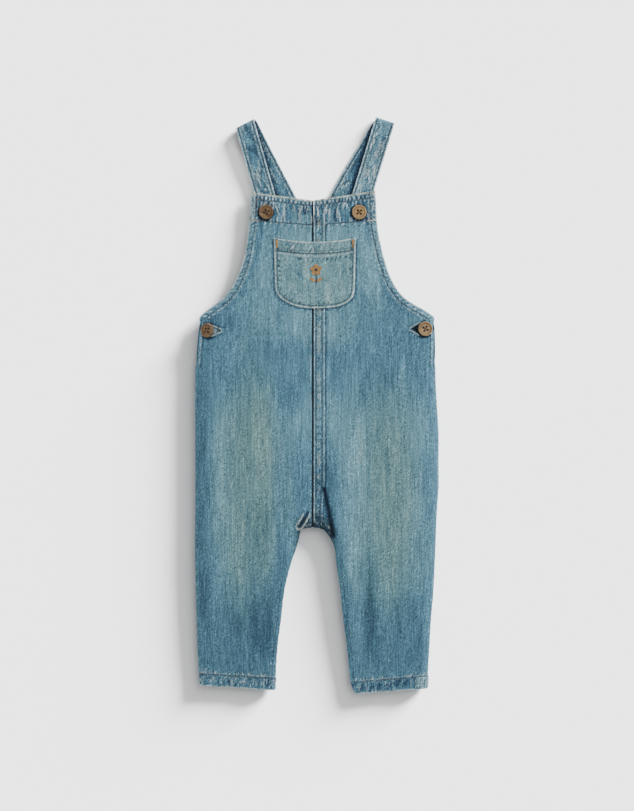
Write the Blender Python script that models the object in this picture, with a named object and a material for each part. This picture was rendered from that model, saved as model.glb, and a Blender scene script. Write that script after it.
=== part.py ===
"""Kids' denim dungarees laid out face up, as cut and sewn: front and back panels, pocket, straps, side
underlaps and buttons.

Frame: +X is the wearer's left, +Y runs from the leg hems to the shoulders, +Z is up, away from the surface
that the back lies on. The origin is the centre of the laid garment, on that surface. All sizes below are in
millimetres and become metres when a mesh is made. "right" and "left" are the wearer's.
"""

import math

import bmesh
import bpy
import numpy as np
from mathutils import Matrix, Vector

MM = 0.001

# ---- Driving dimensions (mm) ----
CLOTH = 1.2  # one wall of denim
GAP = 0.3  # between two pieces at a seam
LOOSE_GAP = 0.8  # between the front and the underlap, which are only buttoned together
CENTRE_FRONT = -3.35  # x of the centre front seam, which lies a little to the wearer's right as laid
CENTRE_BACK = 0.0
FELL_WIDTH = 11.0  # felled centre front seam
STEP = 0.7  # run over which a folded layer's edge drops to the cloth below
HEM_RELIEF = 0.5
BAND_RELIEF = 0.6
FELL_RELIEF = 0.9
ARMHOLE_RELIEF = 0.5
ARMHOLE_HEM = 8.0
INSEAM_FOLD = 11.0  # plan width of the roll of cloth at the inner leg
SEAM_SHARE = 0.47  # side seam height as a share of the laid thickness
STRAP_WIDTH = 20.0
STRAP_THICK = 2.2
STRAP_FOLD_RADIUS = 3.0  # of the strap's middle surface where it turns over the shoulder
BUTTON_RADIUS = 7.25
BUTTON_THICK = 2.8
SHANK_RADIUS = 1.1
BUTTONHOLE = {"shoulder": (13.0, 3.0), "side": (15.0, 3.0)}
POCKET_WIDTH = 82.0

SIDES = {"right": -1.0, "left": 1.0}

# ---- Section rows, bib top edge to leg hem ----
# Each row of a front panel runs from a point on the outer edge to one on the inner edge. Distances out and in
# are measured from the garment's middle line; drop_left is how much lower the row lies on the left side.
# steps is the number of mesh rows to the next section, inset how far the front's edge stands back at the
# side opening, where the underlap shows.
ROW_COLUMNS = (
    "name", "y_out", "out_right", "out_left", "y_in", "in_right", "in_left",
    "drop_out_left", "drop_in_left", "inset", "steps",
)
FRONT_ROWS = (
    ("bib top", 214.5, 65.2, 57.8, 206.4, 3.5, -3.2, -1.5, 0, 0, 1),
    ("top stitch", 208.0, 66.1, 58.5, 201.0, 3.5, -3.2, -1.5, 0, 0, 2),
    ("band stitch", 186.5, 67.4, 59.7, 181.5, 3.5, -3.2, 0, 0, 0, 1),
    ("armhole start", 173.0, 69.0, 61.5, 168.0, 3.5, -3.2, 0, 0, 0, 1),
    ("armhole", 156.0, 71.3, 65.0, 152.0, 3.5, -3.2, 0, 0, 0, 1),
    ("armhole", 144.0, 74.0, 68.2, 139.0, 3.5, -3.2, 0, 0, 0, 1),
    ("armhole", 132.0, 78.6, 72.2, 126.0, 3.5, -3.2, 0, 0, 0, 1),
    ("armhole", 120.5, 84.0, 77.9, 113.0, 3.5, -3.2, 0, 0, 0, 1),
    ("armhole", 110.0, 92.0, 86.0, 102.0, 3.5, -3.2, 0, 0, 0, 1),
    ("armhole", 101.5, 102.6, 97.4, 93.0, 3.5, -3.2, 0, 0, 0, 1),
    ("armhole", 94.0, 112.4, 110.8, 85.0, 3.5, -3.2, 0, 0, 0, 1),
    ("underarm", 88.0, 118.2, 117.7, 77.0, 3.5, -3.2, 0, 0, 0.6, 1),
    ("side button", 76.0, 119.2, 119.0, 66.0, 3.5, -3.2, 0, 0, 3.2, 2),
    ("placket", 54.0, 121.2, 119.3, 44.0, 3.5, -3.2, 0, 0, 3.0, 1),
    ("placket end", 35.0, 121.9, 118.6, 24.0, 3.5, -3.2, 0, 0, 0.0, 1),
    ("hip", 6.0, 122.0, 119.7, -2.0, 3.5, -3.2, 0, 0, 0, 2),
    ("seat", -34.0, 122.0, 122.0, -36.0, 3.5, -3.2, 0, 0, 0, 2),
    ("seat", -74.0, 122.0, 122.0, -70.0, 3.5, -3.2, 0, 0, 0, 1),
    ("thigh", -97.0, 122.0, 120.8, -91.0, 3.5, -3.2, 0, 0, 0, 1),
    ("crotch stitch", -115.0, 122.0, 119.8, -107.5, 3.5, -3.2, 0, 0, 0, 1),
    ("crotch", -125.0, 122.0, 119.4, -121.2, 3.5, -3.2, 0, 0, 0, 1),
    ("crotch", -133.0, 122.0, 119.2, -121.7, 10.0, 1.2, 0, 0, 0, 1),
    ("crotch", -140.0, 122.0, 118.8, -123.3, 15.8, 6.2, 0, 0, 0, 1),
    ("inner thigh", -147.0, 122.0, 118.6, -131.0, 17.8, 12.4, 0, 0, 0, 1),
    ("inner thigh", -155.0, 121.9, 118.2, -142.0, 20.9, 17.6, 0, 0, 0, 1),
    ("inner thigh", -169.0, 121.7, 117.6, -160.0, 26.8, 19.7, 0, 0, 0, 1),
    ("above knee", -189.0, 121.3, 116.4, -185.0, 32.6, 23.5, 0, 0, 0, 2),
    ("knee", -214.0, 120.6, 114.2, -213.0, 35.8, 26.6, 0, 0, 0, 2),
    ("calf", -239.0, 119.8, 112.8, -240.0, 39.2, 30.2, 0, 0, 0, 1),
    ("calf", -258.0, 118.9, 111.8, -262.0, 40.9, 32.2, 0.8, 1.6, 0, 1),
    ("hem stitch", -267.2, 118.3, 111.2, -272.0, 41.2, 33.6, 2.4, 4.2, 0, 1),
    ("hem edge", -279.0, 117.0, 110.4, -284.0, 42.2, 38.9, 3.2, 3.4, 0, 0),
)
CROTCH_ROW = 20  # where the centre seams meet the inner leg seams
BAND_ROW = 2
ARMHOLE_ROWS = (3, 11)
HEM_ROW = 30

# Mesh rows that start near the crotch curve up from it by this much, against y, over this run.
CROTCH_LIFT_Y = (-160.0, -142.0, -131.0, -123.6, -121.2, -107.5, -91.0, -70.0)
CROTCH_LIFT = (0.0, 3.5, 7.0, 10.0, 11.0, 6.0, 2.5, 0.0)
CROTCH_LIFT_RUN = 12.0

# The back panels share the front's side, inner leg and hem rows from the placket's end down.
BACK_TOP_COLUMNS = ("name", "y_out", "out_right", "out_left", "y_in")
BACK_TOP_ROWS = (
    ("back bib top", 118.0, 36.5, 36.5, 118.0),
    ("back bib", 112.5, 38.5, 38.5, 111.0),
    ("back armhole", 107.0, 43.5, 43.5, 104.0),
    ("back armhole", 101.0, 53.0, 53.0, 96.5),
    ("back armhole", 96.0, 68.0, 68.0, 89.0),
    ("back armhole", 92.5, 86.0, 86.0, 82.0),
    ("back armhole", 90.0, 104.0, 104.0, 75.0),
    ("back underarm", 86.5, 117.2, 117.2, 69.0),
    ("back side", 73.0, 119.5, 119.0, 60.0),
    ("back side", 54.0, 121.2, 119.3, 43.0),
)
BACK_JOINS_AT = 14  # the front row at which the shared rows begin

# ---- How thick the garment lies, and how its edges turn down, against y ----
# loft: height of the front's outer face; fold: plan width of the turned-down edge; free_drop: how far an
# edge that is sewn to nothing turns down; sag: how far the front sinks between its edges.
FORM_COLUMNS = ("y", "loft", "fold", "free_drop", "sag")
FORM = (
    (216.0, 8.8, 8.0, 1.0, 0.0),
    (186.0, 9.4, 8.0, 1.2, 0.0),
    (156.0, 10.8, 8.5, 1.8, 0.0),
    (132.0, 12.4, 9.0, 2.5, 0.3),
    (110.0, 14.2, 10.0, 3.8, 0.8),
    (88.0, 15.6, 12.0, 7.0, 1.4),
    (54.0, 16.8, 15.0, 7.0, 2.2),
    (6.0, 17.4, 15.0, 7.0, 2.8),
    (-74.0, 17.4, 14.0, 7.0, 3.0),
    (-125.0, 17.2, 13.0, 7.0, 2.8),
    (-189.0, 16.4, 12.0, 7.0, 2.6),
    (-239.0, 14.6, 10.0, 7.0, 2.2),
    (-267.0, 13.0, 9.0, 7.0, 1.6),
    (-284.0, 12.4, 9.0, 7.0, 1.4),
)
SEAMED_FRONT = (96.0, 86.0)  # y over which the front's free armhole edge becomes the sewn or buttoned side
SEAMED_BACK = (92.0, 82.0)
BACK_FREE_RISE = 0.6
LEGS_BEGIN = (-70.0, -135.0)  # y over which one sag across the body becomes one in each leg
HALF_BODY = 118.0
BODY_SAG = (0.12, 0.75)  # shares of the half body over which the sag grows
CALM_EDGE = 22.0  # run over which folds fade out towards the sides
CALM_INSEAM = 16.0

# ---- The largest folds of the front: soft troughs (minus) and ridges (plus) along straight lines ----
FOLD_SWELL = (0.12, 0.76)  # a fold is deepest at its middle: start and span of the half wave along it
FOLD_COLUMNS = ("x0", "y0", "x1", "y1", "height", "width")
FOLDS = (
    (-2.0, -40.0, -2.0, -118.0, -5.0, 13.0),
    (14.0, -62.0, 24.0, -122.0, 2.2, 9.0),
    (-14.0, -70.0, -24.0, -116.0, 1.4, 9.0),
    (-53.0, -178.0, -50.0, -262.0, -1.9, 8.0),
    (-70.0, -150.0, -66.0, -250.0, 1.3, 10.0),
    (49.0, -180.0, 52.0, -262.0, -1.9, 8.0),
    (66.0, -150.0, 66.0, -250.0, 1.3, 10.0),
    (92.0, -190.0, 96.0, -240.0, -1.2, 7.0),
    (-98.0, -60.0, -96.0, -190.0, 1.2, 11.0),
    (92.0, -60.0, 88.0, -170.0, 1.2, 11.0),
    (-60.0, 60.0, -44.0, -40.0, -1.3, 13.0),
    (58.0, 48.0, 44.0, -50.0, -1.3, 13.0),
    (100.0, 84.0, 66.0, 62.0, -1.2, 6.0),
    (-100.0, 84.0, -70.0, 58.0, -1.0, 6.0),
    (-50.0, 184.0, -46.0, 158.0, -0.8, 5.0),
    (46.0, 184.0, 54.0, 156.0, -0.8, 5.0),
)

# ---- Pocket outline, against u from -1 (right edge) to 1 (left edge) ----
POCKET_X = -2.1
POCKET_TOP = 168.8
POCKET_TOP_DIP = 4.2
POCKET_CORNER = (120.0, 21.9)  # y where the rounded bottom begins, and its depth
POCKET_CURVE = (2.1, 2.7)  # superellipse powers of the bottom's right and left halves
POCKET_TAPER = 0.03  # share by which the pocket is narrower at the bottom
POCKET_BAND = 12.0
POCKET_U = (-1.0, -0.95, -0.82, -0.62, -0.38, -0.15, -0.05, 0.285, 0.375, 0.62, 0.82, 0.95, 1.0)
POCKET_V = (0.0, 0.1, 0.38, 0.52, 0.66, 0.8, 0.92, 1.0)  # and one pair at the band's edge
POCKET_OVER_FELL = ((-8.5, -4.5), (13.0, 9.6))  # x over which the pocket rises onto the felled seam

# ---- Side underlaps ----
UNDERLAP_Y = (40.0, 76.0)
UNDERLAP_TAIL = (4.5, 9.0)  # how far it reaches under the front past the turned edge, by columns
UNDERLAP_TURNS = ((40.0, 20.0), (4.0, 22.0, 45.0, 68.0, 90.0))  # columns under the roll, then over it (degrees)
UNDERLAP_ROWS = 7
UNDERARM_Y = 92.0

# ---- Straps, in plan: the shoulder fold's outermost point, the directions of the two runs and the end ----
# front_angle and back_angle are measured from straight down, towards the garment's middle, and crease_angle,
# the way the fold itself runs, from straight across. The back run starts fold_step further along the fold.
STRAP_COLUMNS = (
    "fold_x", "fold_y", "crease_angle", "fold_step", "front_angle", "front_length", "back_angle",
    "end_x", "end_y",
)
STRAPS = {
    "right": (-73.4, 283.5, 27.0, 2.8, 15.9, 104.0, 27.0, 24.0, 107.0),
    "left": (68.55, 287.4, 18.0, 0.1, 17.0, 105.4, 32.5, -24.0, 107.0),
}
STRAP_PULL = 0.6  # how far the back run keeps to its first direction, as a share of its length
STRAP_FRONT_SHARES = (1.0, 0.9, 0.8, 0.7, 0.6, 0.5, 0.4, 0.3, 0.2, 0.12, 0.05)
STRAP_BACK_SHARES = (0.03, 0.08, *np.linspace(0.14, 0.8, 12), *np.linspace(0.83, 0.92, 7), 0.96, 1.0)
STRAP_FOLD_TURNS = 8
STRAP_CREASED = (0.15, 0.1)  # shares of the front and back run over which cross lines turn square
STRAP_SECTION = ((-1.0, 0.8), (-0.86, 1.0), (0.0, 1.0), (0.86, 1.0), (1.0, 0.8))  # places across, thickness
# Height of the front run's middle surface against the share of its length from the fold.
FRONT_RUN = ((0.3, 6.1), (0.56, 4.8), (1.0, 4.7))
# Height of each back run's middle surface against the share of its length from the fold: the right strap
# crosses over the left one, and both ends lie on the back bib.
BACK_RUN = {
    "right": ((0.0, 1.1), (0.42, 1.1), (0.56, 3.7), (0.88, 3.7), (0.93, 3.2), (1.0, 3.2)),
    "left": ((0.0, 1.1), (0.853, 1.1), (0.9, 3.25), (1.0, 3.25)),
}

# ---- Buttons: place in plan, the way its buttonhole runs, and its extra lean towards the side ----
BUTTON_COLUMNS = ("x", "y", "hole_x", "lean")
BUTTONS = {
    "shoulder_right": (-50.8, 194.6, 0.0, 0.0),
    "shoulder_left": (42.3, 194.4, 0.0, 0.0),
    "side_right": (-107.6, 75.8, 5.5, 23.0),
    "side_left": (107.8, 77.4, -5.5, 4.0),
}
BUTTON_CLEAR = 0.8  # share of its radius that a leaning button must clear the cloth by
# Half section of a button, bottom to top: shares of the radius, and heights.
BUTTON_SECTION = (
    (0.78, 0.0), (0.96, 0.7), (1.0, 1.5), (0.94, 2.5), (0.86, BUTTON_THICK), (0.72, 2.2), (0.6, 1.9),
)
SHANK_REACH = {"shoulder": 3.6, "side": CLOTH + LOOSE_GAP - GAP}  # from the front's face to the shank's end
HOLE_RADIUS = 0.7
HOLE_CIRCLE = 2.1
HOLE_TURN = {"right": 57.0, "left": 27.0}
HOLE_REACH = (-2.0, 6.0)
HOLE_SIDES = 8
BUTTON_SIDES = 20
SHANK_TOP = 0.6
SLIT_DEPTH = 9.0

COLOURS = {
    "denim": (0.14, 0.25, 0.30, 1.0),
    "button": (0.20, 0.13, 0.08, 1.0),
}
ROUGHNESS = {"denim": 0.85, "button": 0.45}


# ---- Small maths ----


def named(columns, rows):
    """One array for each named column of a table."""
    return {c: np.array([r[i] for r in rows], float) for i, c in enumerate(columns) if c != "name"}


def curve_through(knots, values):
    """A smooth function through the points that never swings past them."""
    t, v = np.array(knots, float), np.array(values, float)
    step = np.diff(t)
    slope = np.diff(v) / step
    tangent = np.zeros(len(v))
    tangent[0], tangent[-1] = slope[0], slope[-1]
    for i in range(1, len(v) - 1):
        if slope[i - 1] * slope[i] > 0:
            near, far = 2 * step[i] + step[i - 1], step[i] + 2 * step[i - 1]
            tangent[i] = (near + far) / (near / slope[i - 1] + far / slope[i])

    def at(x):
        x = np.clip(np.asarray(x, float), t[0], t[-1])
        i = np.clip(np.searchsorted(t, x, side="right") - 1, 0, len(step) - 1)
        u = (x - t[i]) / step[i]
        return (
            v[i] * (1 + 2 * u) * (1 - u) ** 2
            + tangent[i] * step[i] * u * (1 - u) ** 2
            + v[i + 1] * u * u * (3 - 2 * u)
            + tangent[i + 1] * step[i] * u * u * (u - 1)
        )

    return at


def smooth(edge0, edge1, x):
    """0 at edge0, 1 at edge1 and smooth between, whichever is larger."""
    t = np.clip((np.asarray(x, float) - edge0) / (edge1 - edge0), 0.0, 1.0)
    return t * t * (3 - 2 * t)


def nearest_on(line, x, y):
    """Distance from each point to a polyline and the unit direction from the line to the point.
    The cloth lies to the right of the line's run: a point on the other side counts as on the line."""
    a, b = line[:-1], line[1:]
    along = b - a
    p = np.stack([np.asarray(x, float), np.asarray(y, float)], axis=-1)[..., None, :]
    share = np.clip(((p - a) * along).sum(-1) / (along * along).sum(-1), 0, 1)
    off = p - (a + share[..., None] * along)
    distance = np.sqrt((off * off).sum(-1))
    i = distance.argmin(-1)
    least = np.take_along_axis(distance, i[..., None], -1)[..., 0]
    to_point = np.take_along_axis(off, i[..., None, None], -2)[..., 0, :]
    normal = np.stack([along[:, 1], -along[:, 0]], axis=-1)
    normal = (normal / np.linalg.norm(normal, axis=-1, keepdims=True))[i]
    inside = (to_point * normal).sum(-1)
    unit = to_point / np.where(least < 1e-6, 1.0, least)[..., None]
    on_line = (np.abs(inside) < 0.02) | (inside < 0)
    return np.where(inside < 0, 0.0, least), np.where(on_line[..., None], normal, unit)


# ---- Outline ----

_form = named(FORM_COLUMNS, FORM)
_up = np.argsort(_form["y"])
loft_at, fold_at, free_drop_at, sag_at = (
    curve_through(_form["y"][_up], _form[c][_up]) for c in FORM_COLUMNS[1:]
)


def front_rows(side):
    """Functions of the section number for a front panel's outer and inner edge, and the inset."""
    r, sign = named(ROW_COLUMNS, FRONT_ROWS), SIDES[side]
    n = np.arange(len(FRONT_ROWS))
    left = 1.0 if side == "left" else 0.0
    return {
        "x_out": curve_through(n, sign * r["out_" + side]),
        "y_out": curve_through(n, r["y_out"] - left * r["drop_out_left"]),
        "x_in": curve_through(n, sign * r["in_" + side]),
        "y_in": curve_through(n, r["y_in"] - left * r["drop_in_left"]),
        "inset": curve_through(n, r["inset"]),
    }


def back_rows(side):
    """The same for a back panel: its own rows at the top, then those it shares with the front."""
    top, sign = named(BACK_TOP_COLUMNS, BACK_TOP_ROWS), SIDES[side]
    shared = np.arange(BACK_JOINS_AT, len(FRONT_ROWS))
    front = front_rows(side)
    n = np.arange(len(BACK_TOP_ROWS) + len(shared))
    centre = sign * GAP / 2 + CENTRE_BACK
    x_in = front["x_in"](shared)
    x_in = np.where(shared <= CROTCH_ROW, centre, x_in)
    return {
        "x_out": curve_through(n, np.append(sign * top["out_" + side], front["x_out"](shared))),
        "y_out": curve_through(n, np.append(top["y_out"], front["y_out"](shared))),
        "x_in": curve_through(n, np.append(np.full(len(top["y_in"]), centre), x_in)),
        "y_in": curve_through(n, np.append(top["y_in"], front["y_in"](shared))),
        "inset": curve_through(n, np.zeros(len(n))),
    }


def edge_line(rows, which, first, last, per_row=4):
    n = np.linspace(first, last, int((last - first) * per_row) + 1)
    return np.stack([rows["x_" + which](n), rows["y_" + which](n)], axis=-1)


def inward(line, side):
    """The line, given from the top down, ordered so that its right hand is the cloth."""
    return line if side == "left" else line[::-1]


LAST_ROW = len(FRONT_ROWS) - 1
LAST_BACK_ROW = len(BACK_TOP_ROWS) + LAST_ROW - BACK_JOINS_AT
FRONT_EDGE, BACK_EDGE = {}, {}
for _side in SIDES:
    _rows, _back = front_rows(_side), back_rows(_side)
    _top = np.array([[CENTRE_FRONT, float(_rows["y_in"](0))]])
    FRONT_EDGE[_side] = inward(np.concatenate([_top, edge_line(_rows, "out", 0, LAST_ROW)]), _side)
    BACK_EDGE[_side] = inward(edge_line(_back, "out", 0, LAST_BACK_ROW), _side)
# One line up the left inner leg, over the crotch and down the right inner leg.
INNER_LINE = np.concatenate(
    [
        edge_line(front_rows("left"), "in", CROTCH_ROW, LAST_ROW)[::-1],
        edge_line(front_rows("right"), "in", CROTCH_ROW, LAST_ROW),
    ]
)


# ---- Height of the cloth ----


def edges_near(x, y, edge):
    """Each point's distance to the outer edge of its own side and to the inner leg line, with directions."""
    left, right = nearest_on(edge["left"], x, y), nearest_on(edge["right"], x, y)
    on_left = np.asarray(x) > CENTRE_FRONT
    distance = np.where(on_left, left[0], right[0])
    direction = np.where(on_left[..., None], left[1], right[1])
    return (distance, direction), nearest_on(INNER_LINE, x, y)


def roll(distance, width):
    """Sine and cosine of a quarter turn that is complete at this distance from the edge."""
    cosine = np.clip(1 - distance / width, 0, 1)
    return np.sqrt(np.clip(1 - cosine * cosine, 0, 1)), cosine


def front_crown(x, y):
    """Height of the front's outer face away from its edges: loft, sag and folds."""
    x, y = np.asarray(x, float), np.asarray(y, float)
    (out, _), (inner, _) = edges_near(x, y, FRONT_EDGE)
    across = out / np.maximum(out + inner, 1e-6)
    in_leg = smooth(*LEGS_BEGIN, y)
    body_sag = smooth(*BODY_SAG, np.minimum(out / HALF_BODY, 1.0))
    leg_sag = np.sin(np.pi * np.clip(across, 0, 1)) ** 2
    height = loft_at(y) - sag_at(y) * (body_sag * (1 - in_leg) + leg_sag * in_leg)
    away = smooth(0.0, CALM_EDGE, out) * (1 - in_leg * (1 - smooth(0.0, CALM_INSEAM, inner)))
    for x0, y0, x1, y1, tall, wide in FOLDS:
        dx, dy = x1 - x0, y1 - y0
        share = np.clip(((x - x0) * dx + (y - y0) * dy) / (dx * dx + dy * dy), 0, 1)
        off = np.hypot(x - x0 - share * dx, y - y0 - share * dy)
        swell = np.sin(np.pi * (FOLD_SWELL[0] + FOLD_SWELL[1] * share))
        height = height + away * tall * np.exp(-((off / wide) ** 2)) * swell
    return height


def front_face(x, y):
    """Height of the front's outer face and its unit normal."""
    x, y = np.asarray(x, float), np.asarray(y, float)
    h = 0.05
    crown = front_crown(x, y)
    slope_x = (front_crown(x + h, y) - front_crown(x - h, y)) / (2 * h)
    slope_y = (front_crown(x, y + h) - front_crown(x, y - h)) / (2 * h)
    seam = SEAM_SHARE * loft_at(y) + GAP / 2
    turned, normal = turned_edge(x, y, FRONT_EDGE, crown - seam, free_drop_at(y), smooth(*SEAMED_FRONT, y))
    normal[..., :2] -= np.stack([slope_x, slope_y], axis=-1) * normal[..., 2:]
    return crown - turned, normal / np.linalg.norm(normal, axis=-1, keepdims=True)


def turned_edge(x, y, edge, drop, free_drop, sewn):
    """How far the cloth has turned away near its edges, and a vector out of its upper face: a quarter
    turn by drop where it is sewn, a slight bend by free_drop where it is not."""
    (out, out_dir), (inner, in_dir) = edges_near(x, y, edge)
    fold = fold_at(y)
    so, co = roll(out, fold)
    si, ci = roll(inner, INSEAM_FOLD)
    steep = drop[..., None] * (
        (co * si * si / fold)[..., None] * out_dir + (ci * so * so / INSEAM_FOLD)[..., None] * in_dir
    )
    bend = (2 * free_drop * co / fold)[..., None] * out_dir
    quarter = np.concatenate([-steep, (so * si)[..., None]], axis=-1)
    slight = np.concatenate([-bend, np.ones_like(so)[..., None]], axis=-1)
    turned = sewn * drop * (1 - so * si) + (1 - sewn) * free_drop * co * co
    normal = sewn[..., None] * quarter + (1 - sewn)[..., None] * slight
    return turned, normal


def back_face(x, y):
    """Height of the back's outer face, which lies on the surface, and its unit normal."""
    x, y = np.asarray(x, float), np.asarray(y, float)
    rise = SEAM_SHARE * loft_at(y) - GAP / 2
    free = np.full(y.shape, BACK_FREE_RISE)
    height, normal = turned_edge(x, y, BACK_EDGE, rise, free, smooth(*SEAMED_BACK, y))
    normal[..., 2] = -normal[..., 2]
    return height, normal / np.linalg.norm(normal, axis=-1, keepdims=True)


# ---- Meshes ----


def new_object(name, mesh, colour):
    material = bpy.data.materials.get(colour) or bpy.data.materials.new(colour)
    material.use_nodes = True
    shader = material.node_tree.nodes["Principled BSDF"]
    shader.inputs["Base Color"].default_value = COLOURS[colour]
    shader.inputs["Roughness"].default_value = ROUGHNESS[colour]
    shader.inputs["Metallic"].default_value = 0.0
    mesh.materials.append(material)
    mesh.shade_smooth()
    mesh.set_sharp_from_angle(angle=math.radians(40))
    made = bpy.data.objects.new(name, mesh)
    bpy.context.scene.collection.objects.link(made)
    return made


def wall(name, outer, inner, colour="denim"):
    """A closed wall between two grids of points of one size, in millimetres."""
    rows, columns = outer.shape[:2]
    bm = bmesh.new()
    faces = [[bm.verts.new(p * MM) for p in grid.reshape(-1, 3)] for grid in (outer, inner)]

    def vert(layer, i, j):
        return faces[layer][i * columns + j]

    for i in range(rows - 1):
        for j in range(columns - 1):
            for layer in (0, 1):
                quad = [vert(layer, i + a, j + b) for a, b in ((0, 0), (0, 1), (1, 1), (1, 0))]
                bm.faces.new(quad if layer else quad[::-1])
    rim = [(0, j) for j in range(columns)] + [(i, columns - 1) for i in range(1, rows)]
    rim += [(rows - 1, j) for j in range(columns - 2, -1, -1)] + [(i, 0) for i in range(rows - 2, 0, -1)]
    for (i, j), (k, m) in zip(rim, rim[1:] + rim[:1]):
        bm.faces.new([vert(0, i, j), vert(0, k, m), vert(1, k, m), vert(1, i, j)])
    if bm.calc_volume(signed=True) < 0:
        bmesh.ops.reverse_faces(bm, faces=bm.faces)
    mesh = bpy.data.meshes.new(name)
    bm.to_mesh(mesh)
    bm.free()
    return new_object(name, mesh, colour)


def front_row_numbers():
    """Section numbers of a front's mesh rows, with a row just past each folded layer's edge."""
    steps = named(ROW_COLUMNS, FRONT_ROWS)["steps"]
    numbers = [i + k / steps[i] for i in range(LAST_ROW) for k in range(int(steps[i]))]
    return np.array(sorted([*numbers, LAST_ROW, *STEP_ROWS]))


def panel_plan(rows, n, outer_at, inner_at, middle):
    """Plan positions of a panel's grid: columns set in from each edge, and even ones between.
    Rows that start at the crotch curve up from it, so that they do not run along its edge."""
    ends = np.stack([rows["x_out"](n), rows["y_out"](n)], -1), np.stack([rows["x_in"](n), rows["y_in"](n)], -1)
    run = ends[1] - ends[0]
    length = np.linalg.norm(run, axis=-1, keepdims=True)
    along = run / length
    near = ends[0][:, None] + along[:, None] * outer_at[..., None]
    far = ends[1][:, None] - along[:, None] * inner_at[..., None]
    share = np.linspace(0, 1, middle + 2)[1:-1]
    between = near[:, -1:] + (far[:, -1:] - near[:, -1:]) * share[:, None]
    plan = np.concatenate([near, between, far[:, ::-1]], axis=1)
    from_inner = np.linalg.norm(plan - ends[1][:, None], axis=-1)
    lift = np.interp(rows["y_in"](n), CROTCH_LIFT_Y, CROTCH_LIFT)[:, None]
    plan[..., 1] += lift * (1 - np.exp(-from_inner / CROTCH_LIFT_RUN)) * (1 - from_inner / length)
    return plan


def edge_columns(fold, turns, inset):
    """Distances of the columns over a turned-down edge, closest together where it is steepest."""
    return inset + (fold - inset) * (1 - np.cos(np.radians(turns)))


FOLD_TURNS = np.array([0.0, 28.0, 50.0, 70.0, 90.0])
PAST_FELL = 18.0
INNER_SEAM = np.array([0.0, 3.5, 8.0, 14.0])
INNER_FELL = np.array([0.0, 5.5, FELL_WIDTH, FELL_WIDTH + STEP, PAST_FELL])
INNER_LEG = np.array([0.0, 0.16, 0.42, 0.70, 1.0]) * INSEAM_FOLD
STEP_ROWS = (BAND_ROW + 0.05, HEM_ROW - 0.06)  # just past the edges of the bib band and of the leg hem
FRONT_MIDDLE = 5  # even columns between a front's edges, and a back's
BACK_MIDDLE = 2
BACK_NARROW = (0.55, 4.0)  # share by which edge columns close up on the back bib, and the rows until they open


def front_panel(side):
    """One front, bib top to leg hem, from the side to the centre front and inner leg seams."""
    rows = front_rows(side)
    n = front_row_numbers()
    y_out = rows["y_out"](n)
    armhole = smooth(ARMHOLE_ROWS[1] + 2, ARMHOLE_ROWS[1], n)
    hem_width = ARMHOLE_HEM * armhole + fold_at(y_out) * (1 - armhole)
    outer_at = edge_columns(hem_width[:, None], FOLD_TURNS, rows["inset"](n)[:, None])
    outer_at = np.append(outer_at, outer_at[:, -1:] + STEP, axis=1)
    in_leg = smooth(CROTCH_ROW - 1.0, CROTCH_ROW + 2.0, n)[:, None]
    seam = INNER_FELL if side == "left" else np.append(INNER_SEAM, PAST_FELL)
    inner_at = seam * (1 - in_leg) + INNER_LEG * in_leg
    plan = panel_plan(rows, n, outer_at, inner_at, FRONT_MIDDLE)
    height, normal = front_face(plan[..., 0], plan[..., 1])
    face = np.concatenate([plan, height[..., None]], axis=-1)
    relief = np.zeros(height.shape)
    relief[n <= BAND_ROW] = BAND_RELIEF
    relief[n >= HEM_ROW] = HEM_RELIEF
    hem_rows = (n >= ARMHOLE_ROWS[0]) & (n <= ARMHOLE_ROWS[1])
    relief[np.ix_(hem_rows, np.arange(1, len(FOLD_TURNS)))] = ARMHOLE_RELIEF
    if side == "left":
        fell_rows = n <= CROTCH_ROW
        relief[np.ix_(fell_rows, np.arange(-3, 0))] = FELL_RELIEF
    return wall("front_" + side, face + normal * relief[..., None], face - normal * CLOTH)


def back_panel(side):
    """One back, back bib top to leg hem, lying flat with its seamed edges turned up."""
    rows = back_rows(side)
    n = np.arange(LAST_BACK_ROW + 1.0)
    outer_at = edge_columns(fold_at(rows["y_out"](n))[:, None], FOLD_TURNS, 0.0)
    crotch = CROTCH_ROW - BACK_JOINS_AT + len(BACK_TOP_ROWS)
    in_leg = smooth(crotch - 1.0, crotch + 2.0, n)[:, None]
    inner_at = INNER_SEAM * (1 - in_leg) + INNER_LEG[[0, 2, 3, 4]] * in_leg
    narrow = back_narrow(n)[:, None]
    plan = panel_plan(rows, n, outer_at * narrow, inner_at * narrow, BACK_MIDDLE)
    height, normal = back_face(plan[..., 0], plan[..., 1])
    face = np.concatenate([plan, height[..., None]], axis=-1)
    return wall("back_" + side, face, face - normal * CLOTH)


def back_narrow(n):
    """Share by which edge columns close up where the back bib is narrow."""
    share, until = BACK_NARROW
    return share + (1 - share) * smooth(0.0, until, n)


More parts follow.
